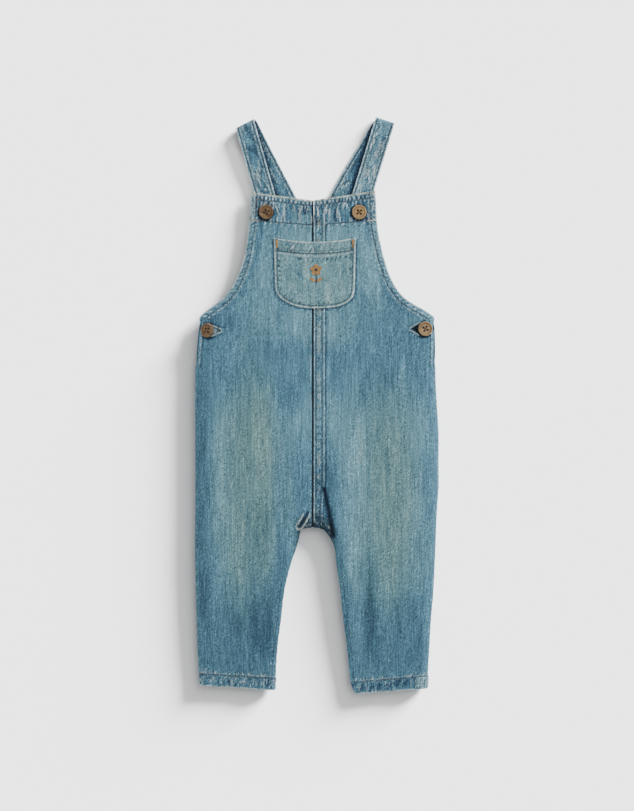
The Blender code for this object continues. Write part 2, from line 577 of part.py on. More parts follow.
def side_underlap(side):
    """The strip on the back's side edge that reaches under the front at the side opening."""
    sign = SIDES[side]
    y = np.linspace(*UNDERLAP_Y, UNDERLAP_ROWS)
    line = FRONT_EDGE[side][FRONT_EDGE[side][:, 1] < UNDERARM_Y]
    line = line[np.argsort(line[:, 1])]
    edge = np.interp(y, line[:, 1], line[:, 0])
    fold = fold_at(y)
    under, over = UNDERLAP_TURNS
    turns = 1 - np.cos(np.radians(under + over))
    inset = np.append(fold[:, None] * turns, fold[:, None] + UNDERLAP_TAIL, axis=1)
    x = edge[:, None] - sign * inset
    yy = np.broadcast_to(y[:, None], x.shape)
    lower = np.arange(x.shape[1]) < len(under)
    (low_z, low_n), (high_z, high_n) = back_face(x, yy), front_face(x, yy)
    height, normal = np.where(lower, low_z, high_z), np.where(lower[:, None], low_n, high_n)
    gap = np.where(lower, 2 * GAP, LOOSE_GAP)[:, None]
    outer = np.stack([x, yy, height], axis=-1) - normal * (CLOTH + gap)
    return wall("side_underlap_" + side, outer, outer - normal * CLOTH)


def pocket_plan(u, v):
    """Plan position of the patch pocket at u across and v down, each running over its whole range."""
    x = POCKET_X + u * POCKET_WIDTH / 2 * (1 - POCKET_TAPER * v)
    top = POCKET_TOP - POCKET_TOP_DIP * (1 - u * u)
    start, deep = POCKET_CORNER
    power = np.where(u < 0, *POCKET_CURVE)
    bottom = start - deep * (1 - np.abs(u) ** power) ** (1 / power)
    return x, top + (bottom - top) * v


def pocket():
    """The patch pocket, lying on both fronts and over the felled seam."""
    down = POCKET_TOP - POCKET_TOP_DIP - POCKET_CORNER[0] + POCKET_CORNER[1]
    band = POCKET_BAND / down
    v = np.sort(np.append(POCKET_V, (band, band + STEP / down)))
    uu, vv = np.meshgrid(POCKET_U, v)
    x, y = pocket_plan(uu, vv)
    height, normal = front_face(x, y)
    over_fell = smooth(*POCKET_OVER_FELL[0], x) * smooth(*POCKET_OVER_FELL[1], x)
    base = np.stack([x, y, height + GAP + FELL_RELIEF * over_fell], axis=-1)
    relief = np.where(vv <= band + 1e-6, BAND_RELIEF, 0.0)
    return wall("pocket", base + normal * (CLOTH + relief)[..., None], base)


# ---- Straps ----


def unit(v):
    return v / np.linalg.norm(v)


def downward(side, degrees):
    """The unit direction this far from straight down, towards the garment's middle."""
    angle = math.radians(degrees)
    return np.array([-SIDES[side] * math.sin(angle), -math.cos(angle)])


def strap_sections(side):
    """Cross lines of the strap from its front end over the shoulder fold to its back end:
    lists of centres and of half-width vectors."""
    s = dict(zip(STRAP_COLUMNS, STRAPS[side]))
    front, back = downward(side, s["front_angle"]), downward(side, s["back_angle"])
    outward = -downward(side, s["crease_angle"])
    crease = downward(side, s["crease_angle"] + 90.0)
    radius, bottom = STRAP_FOLD_RADIUS, STRAP_THICK / 2
    fold = np.array([s["fold_x"], s["fold_y"]]) - outward * (radius + bottom)
    end = np.array([s["end_x"], s["end_y"]])
    centres, halves = [], []

    def add(place, height, direction, to_crease):
        square = np.array([-direction[1], direction[0]])
        if square @ crease < 0:
            square = -square
        across = unit(square * (1 - to_crease) + crease * to_crease)
        half = STRAP_WIDTH / 2 / abs(across @ square)
        centres.append([*place, height])
        halves.append([*(across * half), 0.0])

    front_height = curve_through(*zip((0.0, bottom + 2 * radius), *FRONT_RUN))
    for share in STRAP_FRONT_SHARES:
        place = fold + front * s["front_length"] * share
        add(place, float(front_height(share)), front, float(smooth(STRAP_CREASED[0], 0.0, share)))
    for turn in np.linspace(0, math.pi, STRAP_FOLD_TURNS):
        place = fold + outward * radius * math.sin(turn) + crease * s["fold_step"] * turn / math.pi
        add(place, bottom + radius + radius * math.cos(turn), front, 1.0)
    start = fold + crease * s["fold_step"]
    pull = start + back * float(np.linalg.norm(end - start)) * STRAP_PULL
    heights = curve_through(*zip(*BACK_RUN[side]))
    for share in STRAP_BACK_SHARES:
        place = start * (1 - share) ** 2 + pull * 2 * share * (1 - share) + end * share**2
        direction = unit((pull - start) * (1 - share) + (end - pull) * share)
        add(place, float(heights(share)), direction, float(smooth(STRAP_CREASED[1], 0.0, share)))
    return np.array(centres), np.array(halves)


def strap(side):
    """One strap in a single piece: front run, shoulder fold and back run."""
    centres, halves = strap_sections(side)
    across, share = np.array(STRAP_SECTION).T
    middle = centres[:, None] + halves[:, None] * across[None, :, None]
    lengthwise = np.gradient(centres, axis=0)
    normal = np.cross(lengthwise, halves)
    normal /= np.linalg.norm(normal, axis=-1, keepdims=True)
    if normal[0, 2] < 0:
        normal = -normal
    offset = normal[:, None] * (STRAP_THICK / 2 * share)[None, :, None]
    return wall("strap_" + side, middle + offset, middle - offset)


# ---- Buttons ----


def turned(profile, sides):
    """A closed solid of revolution about Z from (radius, height) points, bottom to top, in millimetres."""
    bm = bmesh.new()
    rings = []
    for radius, height in profile:
        angles = [2 * math.pi * k / sides for k in range(sides)]
        rings.append([bm.verts.new((radius * math.cos(a) * MM, radius * math.sin(a) * MM, height * MM)) for a in angles])
    for low, high in zip(rings, rings[1:]):
        for k in range(sides):
            m = (k + 1) % sides
            bm.faces.new([low[k], low[m], high[m], high[k]])
    bm.faces.new(rings[0][::-1])
    bm.faces.new(rings[-1])
    mesh = bpy.data.meshes.new("turned")
    bm.to_mesh(mesh)
    bm.free()
    return mesh


def hide_helper(obj):
    obj.hide_render = True
    obj.display_type = "WIRE"


def boolean(obj, other, operation):
    modifier = obj.modifiers.new(operation.lower(), "BOOLEAN")
    modifier.operation = operation
    modifier.object = other


def button_frame(name):
    """Where a button sits on the cloth: its centre and the unit vector out of its face."""
    b = dict(zip(BUTTON_COLUMNS, BUTTONS[name]))
    height, normal = front_face(b["x"], b["y"])
    raised = BAND_RELIEF if name.startswith("shoulder") else 0.0
    sign = 1.0 if b["x"] > 0 else -1.0
    lean = math.radians(b["lean"])
    out = np.array([sign, 0.0, 0.0])
    face = unit(normal * math.cos(lean) + (out - normal * (out @ normal)) * math.sin(lean))
    seat = np.array([b["x"], b["y"], float(height)]) + normal * raised
    clear = GAP + BUTTON_RADIUS * BUTTON_CLEAR * math.sin(lean)
    return seat + face * clear, face, clear


def place_on(obj, centre, face):
    """Turns an object's Z axis to the face direction and moves it there."""
    obj.location = [c * MM for c in centre]
    tilt_y = math.atan2(face[0], face[2])
    tilt_x = -math.asin(float(np.clip(face[1], -1, 1)))
    obj.rotation_euler = (tilt_x, tilt_y, 0.0)
    bpy.context.view_layer.update()


def button(name, reach):
    """A four-hole button with its thread shank, which goes through the buttonhole by this reach."""
    centre, face, clear = button_frame(name)
    disc = [(BUTTON_RADIUS * share, height) for share, height in BUTTON_SECTION]
    made = new_object("button_" + name, turned(disc, BUTTON_SIDES), "button")
    place_on(made, centre, face)
    bore = [(HOLE_RADIUS, height) for height in HOLE_REACH]
    for k in range(4):
        angle = math.radians(HOLE_TURN[name.split("_")[1]] + 90 * k)
        hole = new_object(f"hole_{name}_{k}", turned(bore, HOLE_SIDES), "button")
        offset = Vector((math.cos(angle), math.sin(angle), 0.0)) * HOLE_CIRCLE * MM
        hole.data.transform(Matrix.Translation(offset))
        place_on(hole, centre, face)
        hide_helper(hole)
        boolean(made, hole, "DIFFERENCE")
    stem = [(SHANK_RADIUS, -clear - reach), (SHANK_RADIUS, SHANK_TOP)]
    shank = new_object(f"shank_{name}", turned(stem, HOLE_SIDES), "button")
    place_on(shank, centre, face)
    hide_helper(shank)
    boolean(made, shank, "UNION")
    return made


def buttonhole(name, panel):
    """Cuts the slit that the button's shank passes through."""
    b = dict(zip(BUTTON_COLUMNS, BUTTONS[name]))
    long, wide = BUTTONHOLE[name.split("_")[0]]
    bm = bmesh.new()
    bmesh.ops.create_cube(bm, size=1.0)
    for v in bm.verts:
        v.co = (v.co.x * long * MM, v.co.y * wide * MM, v.co.z * SLIT_DEPTH * MM)
    mesh = bpy.data.meshes.new("slit")
    bm.to_mesh(mesh)
    bm.free()
    cutter = new_object(f"slit_{name}", mesh, "denim")
    height, at_normal = front_face(b["x"] + b["hole_x"], b["y"])
    place_on(cutter, (b["x"] + b["hole_x"], b["y"], float(height) - CLOTH / 2), at_normal)
    hide_helper(cutter)
    boolean(panel, cutter, "DIFFERENCE")


# ---- The garment ----


def main():
    for obj in list(bpy.data.objects):
        bpy.data.objects.remove(obj)
    fronts = {side: front_panel(side) for side in SIDES}
    for side in SIDES:
        back_panel(side)
        side_underlap(side)
        strap(side)
    pocket()
    for name in BUTTONS:
        button(name, SHANK_REACH[name.split("_")[0]])
        buttonhole(name, fronts[name.split("_")[1]])


main()
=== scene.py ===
"""Kids' denim dungarees laid out face up: washed cloth, seams, stitching, buttons and the surface below.

Each operator makes one piece or group of like pieces; the Dungarees tab in the 3D view's sidebar lists them.
The cloth is a thin shell on its solid's form. Sizes in this file are millimetres, and become metres when a
mesh is made. +X is the wearer's left, +Y runs from the leg hems to the shoulders, +Z is up. "right" and
"left" are the wearer's.
"""

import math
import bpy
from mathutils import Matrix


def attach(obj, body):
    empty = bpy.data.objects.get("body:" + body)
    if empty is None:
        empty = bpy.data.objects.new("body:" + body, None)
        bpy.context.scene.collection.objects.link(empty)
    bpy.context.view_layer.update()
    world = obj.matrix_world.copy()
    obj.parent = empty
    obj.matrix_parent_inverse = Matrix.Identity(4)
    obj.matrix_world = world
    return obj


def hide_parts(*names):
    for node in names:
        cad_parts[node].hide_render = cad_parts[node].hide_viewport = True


bl_info = {
    "name": "Kids' dungarees",
    "version": (1, 0, 0),
    "blender": (4, 5, 0),
    "location": "3D View > Sidebar > Dungarees",
    "description": "Makes a pair of washed denim dungarees for a small child, laid flat",
    "category": "Add Mesh",
}

import bmesh
import bpy
import numpy as np
from mathutils import Matrix, Vector

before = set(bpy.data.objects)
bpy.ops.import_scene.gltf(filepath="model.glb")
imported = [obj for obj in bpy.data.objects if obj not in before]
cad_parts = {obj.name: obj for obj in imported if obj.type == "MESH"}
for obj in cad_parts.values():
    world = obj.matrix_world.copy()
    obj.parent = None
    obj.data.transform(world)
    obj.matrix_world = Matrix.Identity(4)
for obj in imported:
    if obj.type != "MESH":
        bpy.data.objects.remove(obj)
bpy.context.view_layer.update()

MM = 0.001
BODY = "root"
SIDES = {"right": -1.0, "left": 1.0}

# ---- Form of the laid garment (mm), as its solids have it ----
CLOTH = 1.2
GAP = 0.3
LOOSE_GAP = 0.8
CENTRE_FRONT = -3.35
CENTRE_BACK = 0.0
FELL_WIDTH = 11.0
HEM_RELIEF = 0.5
BAND_RELIEF = 0.6
FELL_RELIEF = 0.9
ARMHOLE_RELIEF = 0.5
INSEAM_FOLD = 11.0
SEAM_SHARE = 0.47
STRAP_WIDTH = 20.0
STRAP_THICK = 2.2
STRAP_FOLD_RADIUS = 3.0
POCKET_WIDTH = 82.0

# Section rows from the bib's top edge to the leg hem: see the part's frame for the directions. Each row runs
# from a point on the outer edge to one on the inner edge; the last columns are how much lower it lies on the
# left side, and how far the front stands back at the side opening.
ROW_COLUMNS = (
    "name", "y_out", "out_right", "out_left", "y_in", "in_right", "in_left",
    "drop_out_left", "drop_in_left", "inset",
)
FRONT_ROWS = (
    ("bib top", 214.5, 65.2, 57.8, 206.4, 3.5, -3.2, -1.5, 0, 0),
    ("top stitch", 208, 66.1, 58.5, 201, 3.5, -3.2, -1.5, 0, 0),
    ("band stitch", 186.5, 67.4, 59.7, 181.5, 3.5, -3.2, 0, 0, 0),
    ("armhole start", 173, 69, 61.5, 168, 3.5, -3.2, 0, 0, 0),
    ("armhole", 156, 71.3, 65, 152, 3.5, -3.2, 0, 0, 0),
    ("armhole", 144, 74, 68.2, 139, 3.5, -3.2, 0, 0, 0),
    ("armhole", 132, 78.6, 72.2, 126, 3.5, -3.2, 0, 0, 0),
    ("armhole", 120.5, 84, 77.9, 113, 3.5, -3.2, 0, 0, 0),
    ("armhole", 110, 92, 86, 102, 3.5, -3.2, 0, 0, 0),
    ("armhole", 101.5, 102.6, 97.4, 93, 3.5, -3.2, 0, 0, 0),
    ("armhole", 94, 112.4, 110.8, 85, 3.5, -3.2, 0, 0, 0),
    ("underarm", 88, 118.2, 117.7, 77, 3.5, -3.2, 0, 0, 0.6),
    ("side button", 76, 119.2, 119, 66, 3.5, -3.2, 0, 0, 3.2),
    ("placket", 54, 121.2, 119.3, 44, 3.5, -3.2, 0, 0, 3),
    ("placket end", 35, 121.9, 118.6, 24, 3.5, -3.2, 0, 0, 0),
    ("hip", 6, 122, 119.7, -2, 3.5, -3.2, 0, 0, 0),
    ("seat", -34, 122, 122, -36, 3.5, -3.2, 0, 0, 0),
    ("seat", -74, 122, 122, -70, 3.5, -3.2, 0, 0, 0),
    ("thigh", -97, 122, 120.8, -91, 3.5, -3.2, 0, 0, 0),
    ("crotch stitch", -115, 122, 119.8, -107.5, 3.5, -3.2, 0, 0, 0),
    ("crotch", -125, 122, 119.4, -121.2, 3.5, -3.2, 0, 0, 0),
    ("crotch", -133, 122, 119.2, -121.7, 10, 1.2, 0, 0, 0),
    ("crotch", -140, 122, 118.8, -123.3, 15.8, 6.2, 0, 0, 0),
    ("inner thigh", -147, 122, 118.6, -131, 17.8, 12.4, 0, 0, 0),
    ("inner thigh", -155, 121.9, 118.2, -142, 20.9, 17.6, 0, 0, 0),
    ("inner thigh", -169, 121.7, 117.6, -160, 26.8, 19.7, 0, 0, 0),
    ("above knee", -189, 121.3, 116.4, -185, 32.6, 23.5, 0, 0, 0),
    ("knee", -214, 120.6, 114.2, -213, 35.8, 26.6, 0, 0, 0),
    ("calf", -239, 119.8, 112.8, -240, 39.2, 30.2, 0, 0, 0),
    ("calf", -258, 118.9, 111.8, -262, 40.9, 32.2, 0.8, 1.6, 0),
    ("hem stitch", -267.2, 118.3, 111.2, -272, 41.2, 33.6, 2.4, 4.2, 0),
    ("hem edge", -279, 117, 110.4, -284, 42.2, 38.9, 3.2, 3.4, 0),
)
CROTCH_ROW = 20
STITCH_ROW = 1
BAND_ROW = 2
ARMHOLE_ROWS = (3, 11)
HEM_ROW = 30
CROTCH_LIFT_Y = (-160.0, -142.0, -131.0, -123.6, -121.2, -107.5, -91.0, -70.0)
CROTCH_LIFT = (0.0, 3.5, 7.0, 10.0, 11.0, 6.0, 2.5, 0.0)
CROTCH_LIFT_RUN = 12.0

BACK_TOP_COLUMNS = ("name", "y_out", "out_right", "out_left", "y_in")
BACK_TOP_ROWS = (
    ("back bib top", 118, 36.5, 36.5, 118),
    ("back bib", 112.5, 38.5, 38.5, 111),
    ("back armhole", 107, 43.5, 43.5, 104),
    ("back armhole", 101, 53, 53, 96.5),
    ("back armhole", 96, 68, 68, 89),
    ("back armhole", 92.5, 86, 86, 82),
    ("back armhole", 90, 104, 104, 75),
    ("back underarm", 86.5, 117.2, 117.2, 69),
    ("back side", 73, 119.5, 119, 60),
    ("back side", 54, 121.2, 119.3, 43),
)
BACK_JOINS_AT = 14

FORM_COLUMNS = ("y", "loft", "fold", "free_drop", "sag")
FORM = (
    (216, 8.8, 8, 1, 0),
    (186, 9.4, 8, 1.2, 0),
    (156, 10.8, 8.5, 1.8, 0),
    (132, 12.4, 9, 2.5, 0.3),
    (110, 14.2, 10, 3.8, 0.8),
    (88, 15.6, 12, 7, 1.4),
    (54, 16.8, 15, 7, 2.2),
    (6, 17.4, 15, 7, 2.8),
    (-74, 17.4, 14, 7, 3),
    (-125, 17.2, 13, 7, 2.8),
    (-189, 16.4, 12, 7, 2.6),
    (-239, 14.6, 10, 7, 2.2),
    (-267, 13, 9, 7, 1.6),
    (-284, 12.4, 9, 7, 1.4),
)
SEAMED_FRONT = (96.0, 86.0)
SEAMED_BACK = (92.0, 82.0)
BACK_FREE_RISE = 0.6
LEGS_BEGIN = (-70.0, -135.0)

# x and y of both ends, height and width
FOLDS = (
    (-2, -40, -2, -118, -5, 13),
    (14, -62, 24, -122, 2.2, 9),
    (-14, -70, -24, -116, 1.4, 9),
    (-53, -178, -50, -262, -1.9, 8),
    (-70, -150, -66, -250, 1.3, 10),
    (49, -180, 52, -262, -1.9, 8),
    (66, -150, 66, -250, 1.3, 10),
    (92, -190, 96, -240, -1.2, 7),
    (-98, -60, -96, -190, 1.2, 11),
    (92, -60, 88, -170, 1.2, 11),
    (-60, 60, -44, -40, -1.3, 13),
    (58, 48, 44, -50, -1.3, 13),
    (100, 84, 66, 62, -1.2, 6),
    (-100, 84, -70, 58, -1, 6),
    (-50, 184, -46, 158, -0.8, 5),
    (46, 184, 54, 156, -0.8, 5),
)

POCKET_X = -2.1
POCKET_TOP = 168.8
POCKET_TOP_DIP = 4.2
POCKET_CORNER = (120.0, 21.9)
POCKET_CURVE = (2.1, 2.7)
POCKET_TAPER = 0.03
POCKET_BAND = 12.0
POCKET_OVER_FELL = ((-8.5, -4.5), (13.0, 9.6))  # where the pocket climbs on to the felled seam and off it

UNDERLAP_Y = (40.0, 76.0)
UNDERLAP_TAIL = (4.5, 9.0)

STRAP_COLUMNS = (
    "fold_x", "fold_y", "crease_angle", "fold_step", "front_angle", "front_length", "back_angle",
    "end_x", "end_y",
)
STRAPS = {
    "right": (-73.4, 283.5, 27, 2.8, 15.9, 104, 27, 24, 107),
    "left": (68.55, 287.4, 18, 0.1, 17, 105.4, 32.5, -24, 107),
}
STRAP_PULL = 0.6
STRAP_SHADE = {"right": 0.75, "left": 0.98}  # how dark the part behind lies in the shade of the part in front
STRAP_WASH = {"right": 0.0, "left": 0.6}
STRAP_HOLES = {"right": (1.9, 38.2), "left": (-4.7, 34.4)}  # buttonhole's end: across, and along
FRONT_RUN = ((0.3, 6.1), (0.56, 4.8), (1.0, 4.7))
BACK_RUN = {
    "right": ((0, 1.1), (0.42, 1.1), (0.56, 3.7), (0.88, 3.7), (0.93, 3.2), (1, 3.2)),
    "left": ((0, 1.1), (0.853, 1.1), (0.9, 3.25), (1, 3.25)),
}

BUTTON_COLUMNS = ("x", "y", "hole_x", "lean", "turn")
BUTTONS = {
    "shoulder_right": (-50.8, 194.6, 0, 0, 17),
    "shoulder_left": (42.3, 194.4, 0, 0, 40),
    "side_right": (-107.6, 75.8, 5.5, 23, 36),
    "side_left": (107.8, 77.4, -5.5, 4, 62),
}
BUTTON_TONES = {"shoulder_right": -0.12, "shoulder_left": 0.26, "side_right": -0.14, "side_left": 0.05}
BUTTON_RADIUS = 7.25
BUTTON_DECK = 0.765  # height of the dished middle, as a share of the thickness
HOLE_ANGLES = [math.radians(90 * k) for k in range(4)]
SHANK_REACH = {"shoulder": 3.6, "side": CLOTH + LOOSE_GAP - GAP}

# ---- Sewing: where the stitch rows run (mm in from the edge or seam they follow) ----
ARMHOLE_STITCH = 5.5
BAND_SIDE_STITCH = 5.5
FELL_STITCHES = (2.4, 8.4)
STRAP_STITCH = 2.3
POCKET_STITCH = 2.7
POCKET_BAND_ROWS = 2.4
STITCH_LIFT = 0.1
TAN_LIFT = 0.08
CROTCH_STITCH_Y = -109.3
CROTCH_STITCH_X = (0.5, 8.5)  # from the centre front
FELL_STITCH_RUNS = ((204.5, POCKET_TOP - POCKET_TOP_DIP), (97.5, CROTCH_STITCH_Y))
HEM_ENDS = {"right": (-119.0, -41.0), "left": (36.0, 112.0)}
HEM_PATCH = 98.6  # where the outer seam's fell begins, which shows on the left leg's hem
HEM_PATCH_ROWS = [HEM_PATCH + 1.6 + 2.4 * k for k in range(4)]
HEM_PATCH_RUN = (-270.2, -281.0)
BARTACK_X = (-40.0, 36.0)
BARTACK_Y = [166.6 - 0.52 * k for k in range(15)]
BUTTONHOLES = {"right": (12.1, 0.44), "left": (14.8, 0.56)}  # how far from the button it begins, and widens
SLIT = 0.3  # half width of a side buttonhole at its closed end

# ---- Wash: soft paler (plus) and darker (minus) zones of the fronts ----
# name, x, y, reach across, reach along, fade from -1, unwashed, to 1, pale, and warm, which is how far the
# zone turns from blue to a greenish straw
FRONT_WASH = (
    ("bib", 0, 150, 60, 40, 0.95, 0.06),
    ("bib left side", 56, 145, 12, 44, 0.68, -0.2),
    ("below pocket", 0, 82, 50, 20, 0.63, 0.1),
    ("left underarm", 102, 82, 18, 10, 0.5, -0.3),
    ("right underarm", -104, 82, 18, 10, -0.6, -0.2),
    ("waist", 0, 40, 130, 40, -0.36, -0.1),
    ("centre", 0, 20, 26, 70, 0.52, -0.2),
    ("waist left spot", 28, 52, 16, 30, 0.16, 0),
    ("right waist", -70, 30, 16, 60, 0.10, 0.25),
    ("left hip side", 95, 10, 16, 50, 0.27, -0.1),
    ("right thigh top", -60, -20, 18, 34, 0.33, 0.2),
    ("right thigh", -76, -88, 24, 100, 0.39, 0.8),
    ("right thigh middle", -52, -70, 11, 120, 0.50, 0.55),
    ("right outer thigh", -98, -70, 11, 80, 0.36, -0.1),
    ("right thigh low", -56, -140, 14, 40, -0.39, 0.1),
    ("inner right thigh", -28, -80, 11, 50, 0.22, 0.25),
    ("left thigh inner", 36, -60, 12, 60, 0.71, -0.4),
    ("left thigh", 52, -80, 24, 110, 0.43, 0.45),
    ("left thigh middle", 78, -95, 20, 110, 0.52, 0.7),
    ("left outer thigh", 98, -70, 11, 80, 0.40, 0.07),
    # These three darken the right side's outer edge, the side away from the light: partly wash, partly
    # painted shade.
    ("right side", -116, -90, 11, 150, -0.68, 0.2),
    ("right edge", -122, -60, 4, 150, -0.4, 0),
    ("right shin side", -110, -205, 8, 52, -0.38, 0),
    ("left side", 112, -60, 9, 150, 0.02, -0.15),
    ("right knee", -78, -175, 14, 34, 0.24, 0.14),
    ("left knee", 74, -178, 14, 34, 0, 0.12),
    ("right shin", -66, -235, 46, 44, -0.88, 0.24),
    ("left shin", 78, -235, 42, 44, -0.57, 0.02),
    ("right hem middle", -70, -250, 26, 20, 0.16, -0.12),
    ("right inner calf", -50, -222, 9, 46, -0.34, -0.08),
    ("left inner calf", 51, -206, 5, 54, -0.72, 0.3),
    ("left outer calf", 97, -222, 5, 50, -0.01, -0.15),
    ("crotch", -2, -92, 18, 36, -0.66, -0.3),
)
BACK_WASH = (
    ("right seat", -62, -60, 40, 70, 0.40, 0.3),
    ("left seat", 62, -60, 40, 70, 0.40, 0.3),
    ("waist", 0, 50, 120, 40, -0.10, 0),
    ("right calf", -80, -220, 36, 50, -0.30, 0),
    ("left calf", 76, -220, 36, 50, -0.30, 0),
)

# ---- Long soft creases: x and y of both ends, width, and a tone above 0 for ridges, below for troughs ----
FRONT_CREASES = (
    (-96.5, -2, -95.5, -142, 4, 0.5),
    (-76.5, 106, -73.5, -14, 3, 0.35),
    (-73.5, -64, -73.5, -154, 3, 0.35),
    (-44.5, -116, -48.5, -162, 4, 0.8),
    (-73.5, -202, -70.5, -259, 3.5, 0.4),
    (-108.5, -194, -104.5, -254, 3, 0.3),
    (-69.5, 4, -66.5, -62, 3.5, -0.4),
    (-63.5, -186, -60.5, -242, 5, -0.8),
    (-33.5, -129, -40.5, -194, 5, -0.7),
    (-86.5, -154, -84.5, -234, 4, -0.3),
    (-54.5, 41, -48.5, -24, 3, -0.35),
    (15.5, 18, 19.5, -42, 4, 0.5),
    (35.5, -119, 39.5, -192, 5, 0.8),
    (41.5, -9, 45.5, -62, 4, 0.6),
    (50.5, -9, 51.5, -109, 2, -0.5),
    (53.5, -162, 54.5, -252, 3, -0.8),
    (68.5, -34, 85.5, -52, 3, 0.3),
    (88.5, -64, 93.5, -154, 4, 0.4),
    (78.5, -194, 81.5, -244, 4, -0.4),
    (-55.5, 186, -57, 164, 1.5, -1),
    (-39.5, 185, -41, 168, 1.4, -0.7),
    (52.5, 187, 54.5, 166, 1.5, -1),
)
BACK_CREASES = (
    (-84, 20, -80, -110, 4, 0.5),
    (-42, -70, -46, -150, 4.5, 0.7),
    (-62, -160, -58, -236, 5, -0.6),
    (-100, -60, -98, -170, 4, -0.3),
    (38, -80, 44, -172, 5, 0.7),
    (70, 30, 74, -70, 4, 0.4),
    (56, -150, 58, -240, 4, -0.7),
    (92, -90, 90, -190, 4, -0.3),
)
POCKET_CREASES = (
    (-31.5, 141, -8.5, 124, 2.2, -0.8),
    (-30, 138.5, -11, 123, 1.6, 0.7),
    (22, 146, 30, 126, 2, -0.5),
)
CROTCH_VALLEY = np.array([(7.0, -82.0), (9.0, -93.0), (11.5, -104.0), (13.5, -116.0), (15.5, -129.0)])
CROTCH_TUCK = np.array([(-9.5, -106.0), (-12.5, -112.0), (-17.5, -120.0)])

# ---- Short sharp creases: how many, length, width, the most they lean, how rubbed and how dark beside ----
STREWN = {
    "band": (58, 15, 0.75, 0.4, 1, 1),
    "hem": (20, 10, 0.9, 0.45, 0.5, 0.6),
    "above hem": (22, 6, 0.65, 0.35, 0.6, 0.35),
    "pocket band": (17, 11, 0.95, 0.5, 0.6, 0.7),
    "strap": (56, 21, 0.8, 0.62, 1, 0.9),
}
BAND_REACH = (-66.0, 60.0, 183.0, 206.0)
POCKET_BAND_REACH = (-42.0, 38.0, -10.0, -2.0)


# ---- Settings in the sidebar ----


def colour_property(name, description, default):
    return bpy.props.FloatVectorProperty(
        name=name, description=description, subtype="COLOR", size=4, min=0.0, max=1.0, default=(*default, 1.0)
    )


def length_property(name, description, default):
    return bpy.props.FloatProperty(
        name=name, description=description, default=default * MM, min=0.0, unit="LENGTH", precision=5
    )


def strength_property(name, description, default):
    return bpy.props.FloatProperty(name=name, description=description, default=default, min=0.0)


class DungareesCloth(bpy.types.PropertyGroup):
    """Colours and surface of the denim."""

    # Trough is also the colour of painted shade in creases, grooves and beside raised edges, through the deep
    # mask.
    trough: colour_property("Trough", "Unworn blue, in the troughs beside seams", (0.023, 0.052, 0.098))
    dark: colour_property("Dark", "Least faded cloth", (0.055, 0.134, 0.200))
    middle: colour_property("Middle", "Half faded cloth", (0.100, 0.235, 0.322))
    pale: colour_property("Pale", "Most faded cloth", (0.190, 0.385, 0.470))
    bleached: colour_property("Bleached", "Faintest cloth", (0.42, 0.60, 0.66))
    warm: colour_property("Warm", "What the straw-tinted zones are multiplied by", (1.0, 0.86, 0.69))
    cream: colour_property("Cream", "Rubbed crests and folded edges", (0.62, 0.77, 0.79))
    inside: colour_property("Inside", "Wrong side of the twill", (0.22, 0.32, 0.37))
    rib_pitch: length_property("Rib pitch", "Distance between the twill's ribs", 0.9)
    yarn_width: length_property("Yarn width", "Width of the finest yarns' streaks", 0.95)
    slub_contrast: strength_property("Slub contrast", "Strength of the yarns' streaks", 1.25)
    grain_contrast: strength_property("Grain contrast", "Strength of the broken ribs", 1.38)
    pucker: length_property("Pucker", "Height of the puckers beside seams", 0.42)


class DungareesSewing(bpy.types.PropertyGroup):
    """Sewing thread and stitches."""

    stitch: length_property("Stitch", "Length of one stitch on the face", 1.95)
    pitch: length_property("Pitch", "Distance from one stitch to the next", 3.0)
    thread: length_property("Thread", "Thread radius", 0.27)
    blue: colour_property("Blue thread", "Tonal thread of straps, seams and pocket", (0.13, 0.17, 0.18))
    sky: colour_property("Sky blue thread", "Thread of the side buttonholes", (0.40, 0.54, 0.60))
    tan: colour_property("Tan thread", "Thread of the bib band, hems and pocket band", (0.30, 0.23, 0.16))
    cream: colour_property("Cream thread", "Thread at the bib band's ends and the crotch", (0.60, 0.55, 0.42))
    umber: colour_property("Umber thread", "Thread that holds the buttons", (0.12, 0.062, 0.026))
    orange: colour_property("Orange thread", "Bartacks and embroidered petals", (0.52, 0.27, 0.085))
    brown: colour_property("Brown thread", "Embroidered outlines", (0.045, 0.026, 0.018))


class DungareesButtons(bpy.types.PropertyGroup):
    """Horn-look buttons."""

    light: colour_property("Light horn", "Pale streaks of the buttons", (0.46, 0.285, 0.115))
    dark: colour_property("Dark horn", "Dark streaks of the buttons", (0.105, 0.055, 0.021))
    thickness: length_property("Thickness", "Of the rim", 2.9)
    hole: length_property("Hole", "Radius of one hole", 0.95)
    hole_circle: length_property("Hole circle", "Distance of each hole from the middle", 2.15)


class DungareesStage(bpy.types.PropertyGroup):
    """Floor, light and camera."""

    floor: colour_property("Floor", "Plain pale surface", (0.80, 0.80, 0.80))
    key: strength_property("Key light", "On everything, from the upper right", 1.8)
    backdrop: strength_property("Backdrop light", "Low light that falls on the floor alone", 39.4)
    sky: strength_property("Sky", "Even light from all round", 0.60)
    view_height: length_property("View height", "Height of the area that the camera frames", 811.0)
    lens: bpy.props.FloatProperty(
        name="Lens", description="Focal length", default=120.0, subtype="DISTANCE_CAMERA"
    )


def chosen(group):
    """The sidebar's values for the cloth, sewing, buttons or stage."""
    return getattr(bpy.context.scene, "dungarees_" + group)


# ---- Small maths, for arrays ----


def named(columns, rows):
    """One array for each named column of a table."""
    return {c: np.array([r[i] for r in rows], float) for i, c in enumerate(columns) if c != "name"}


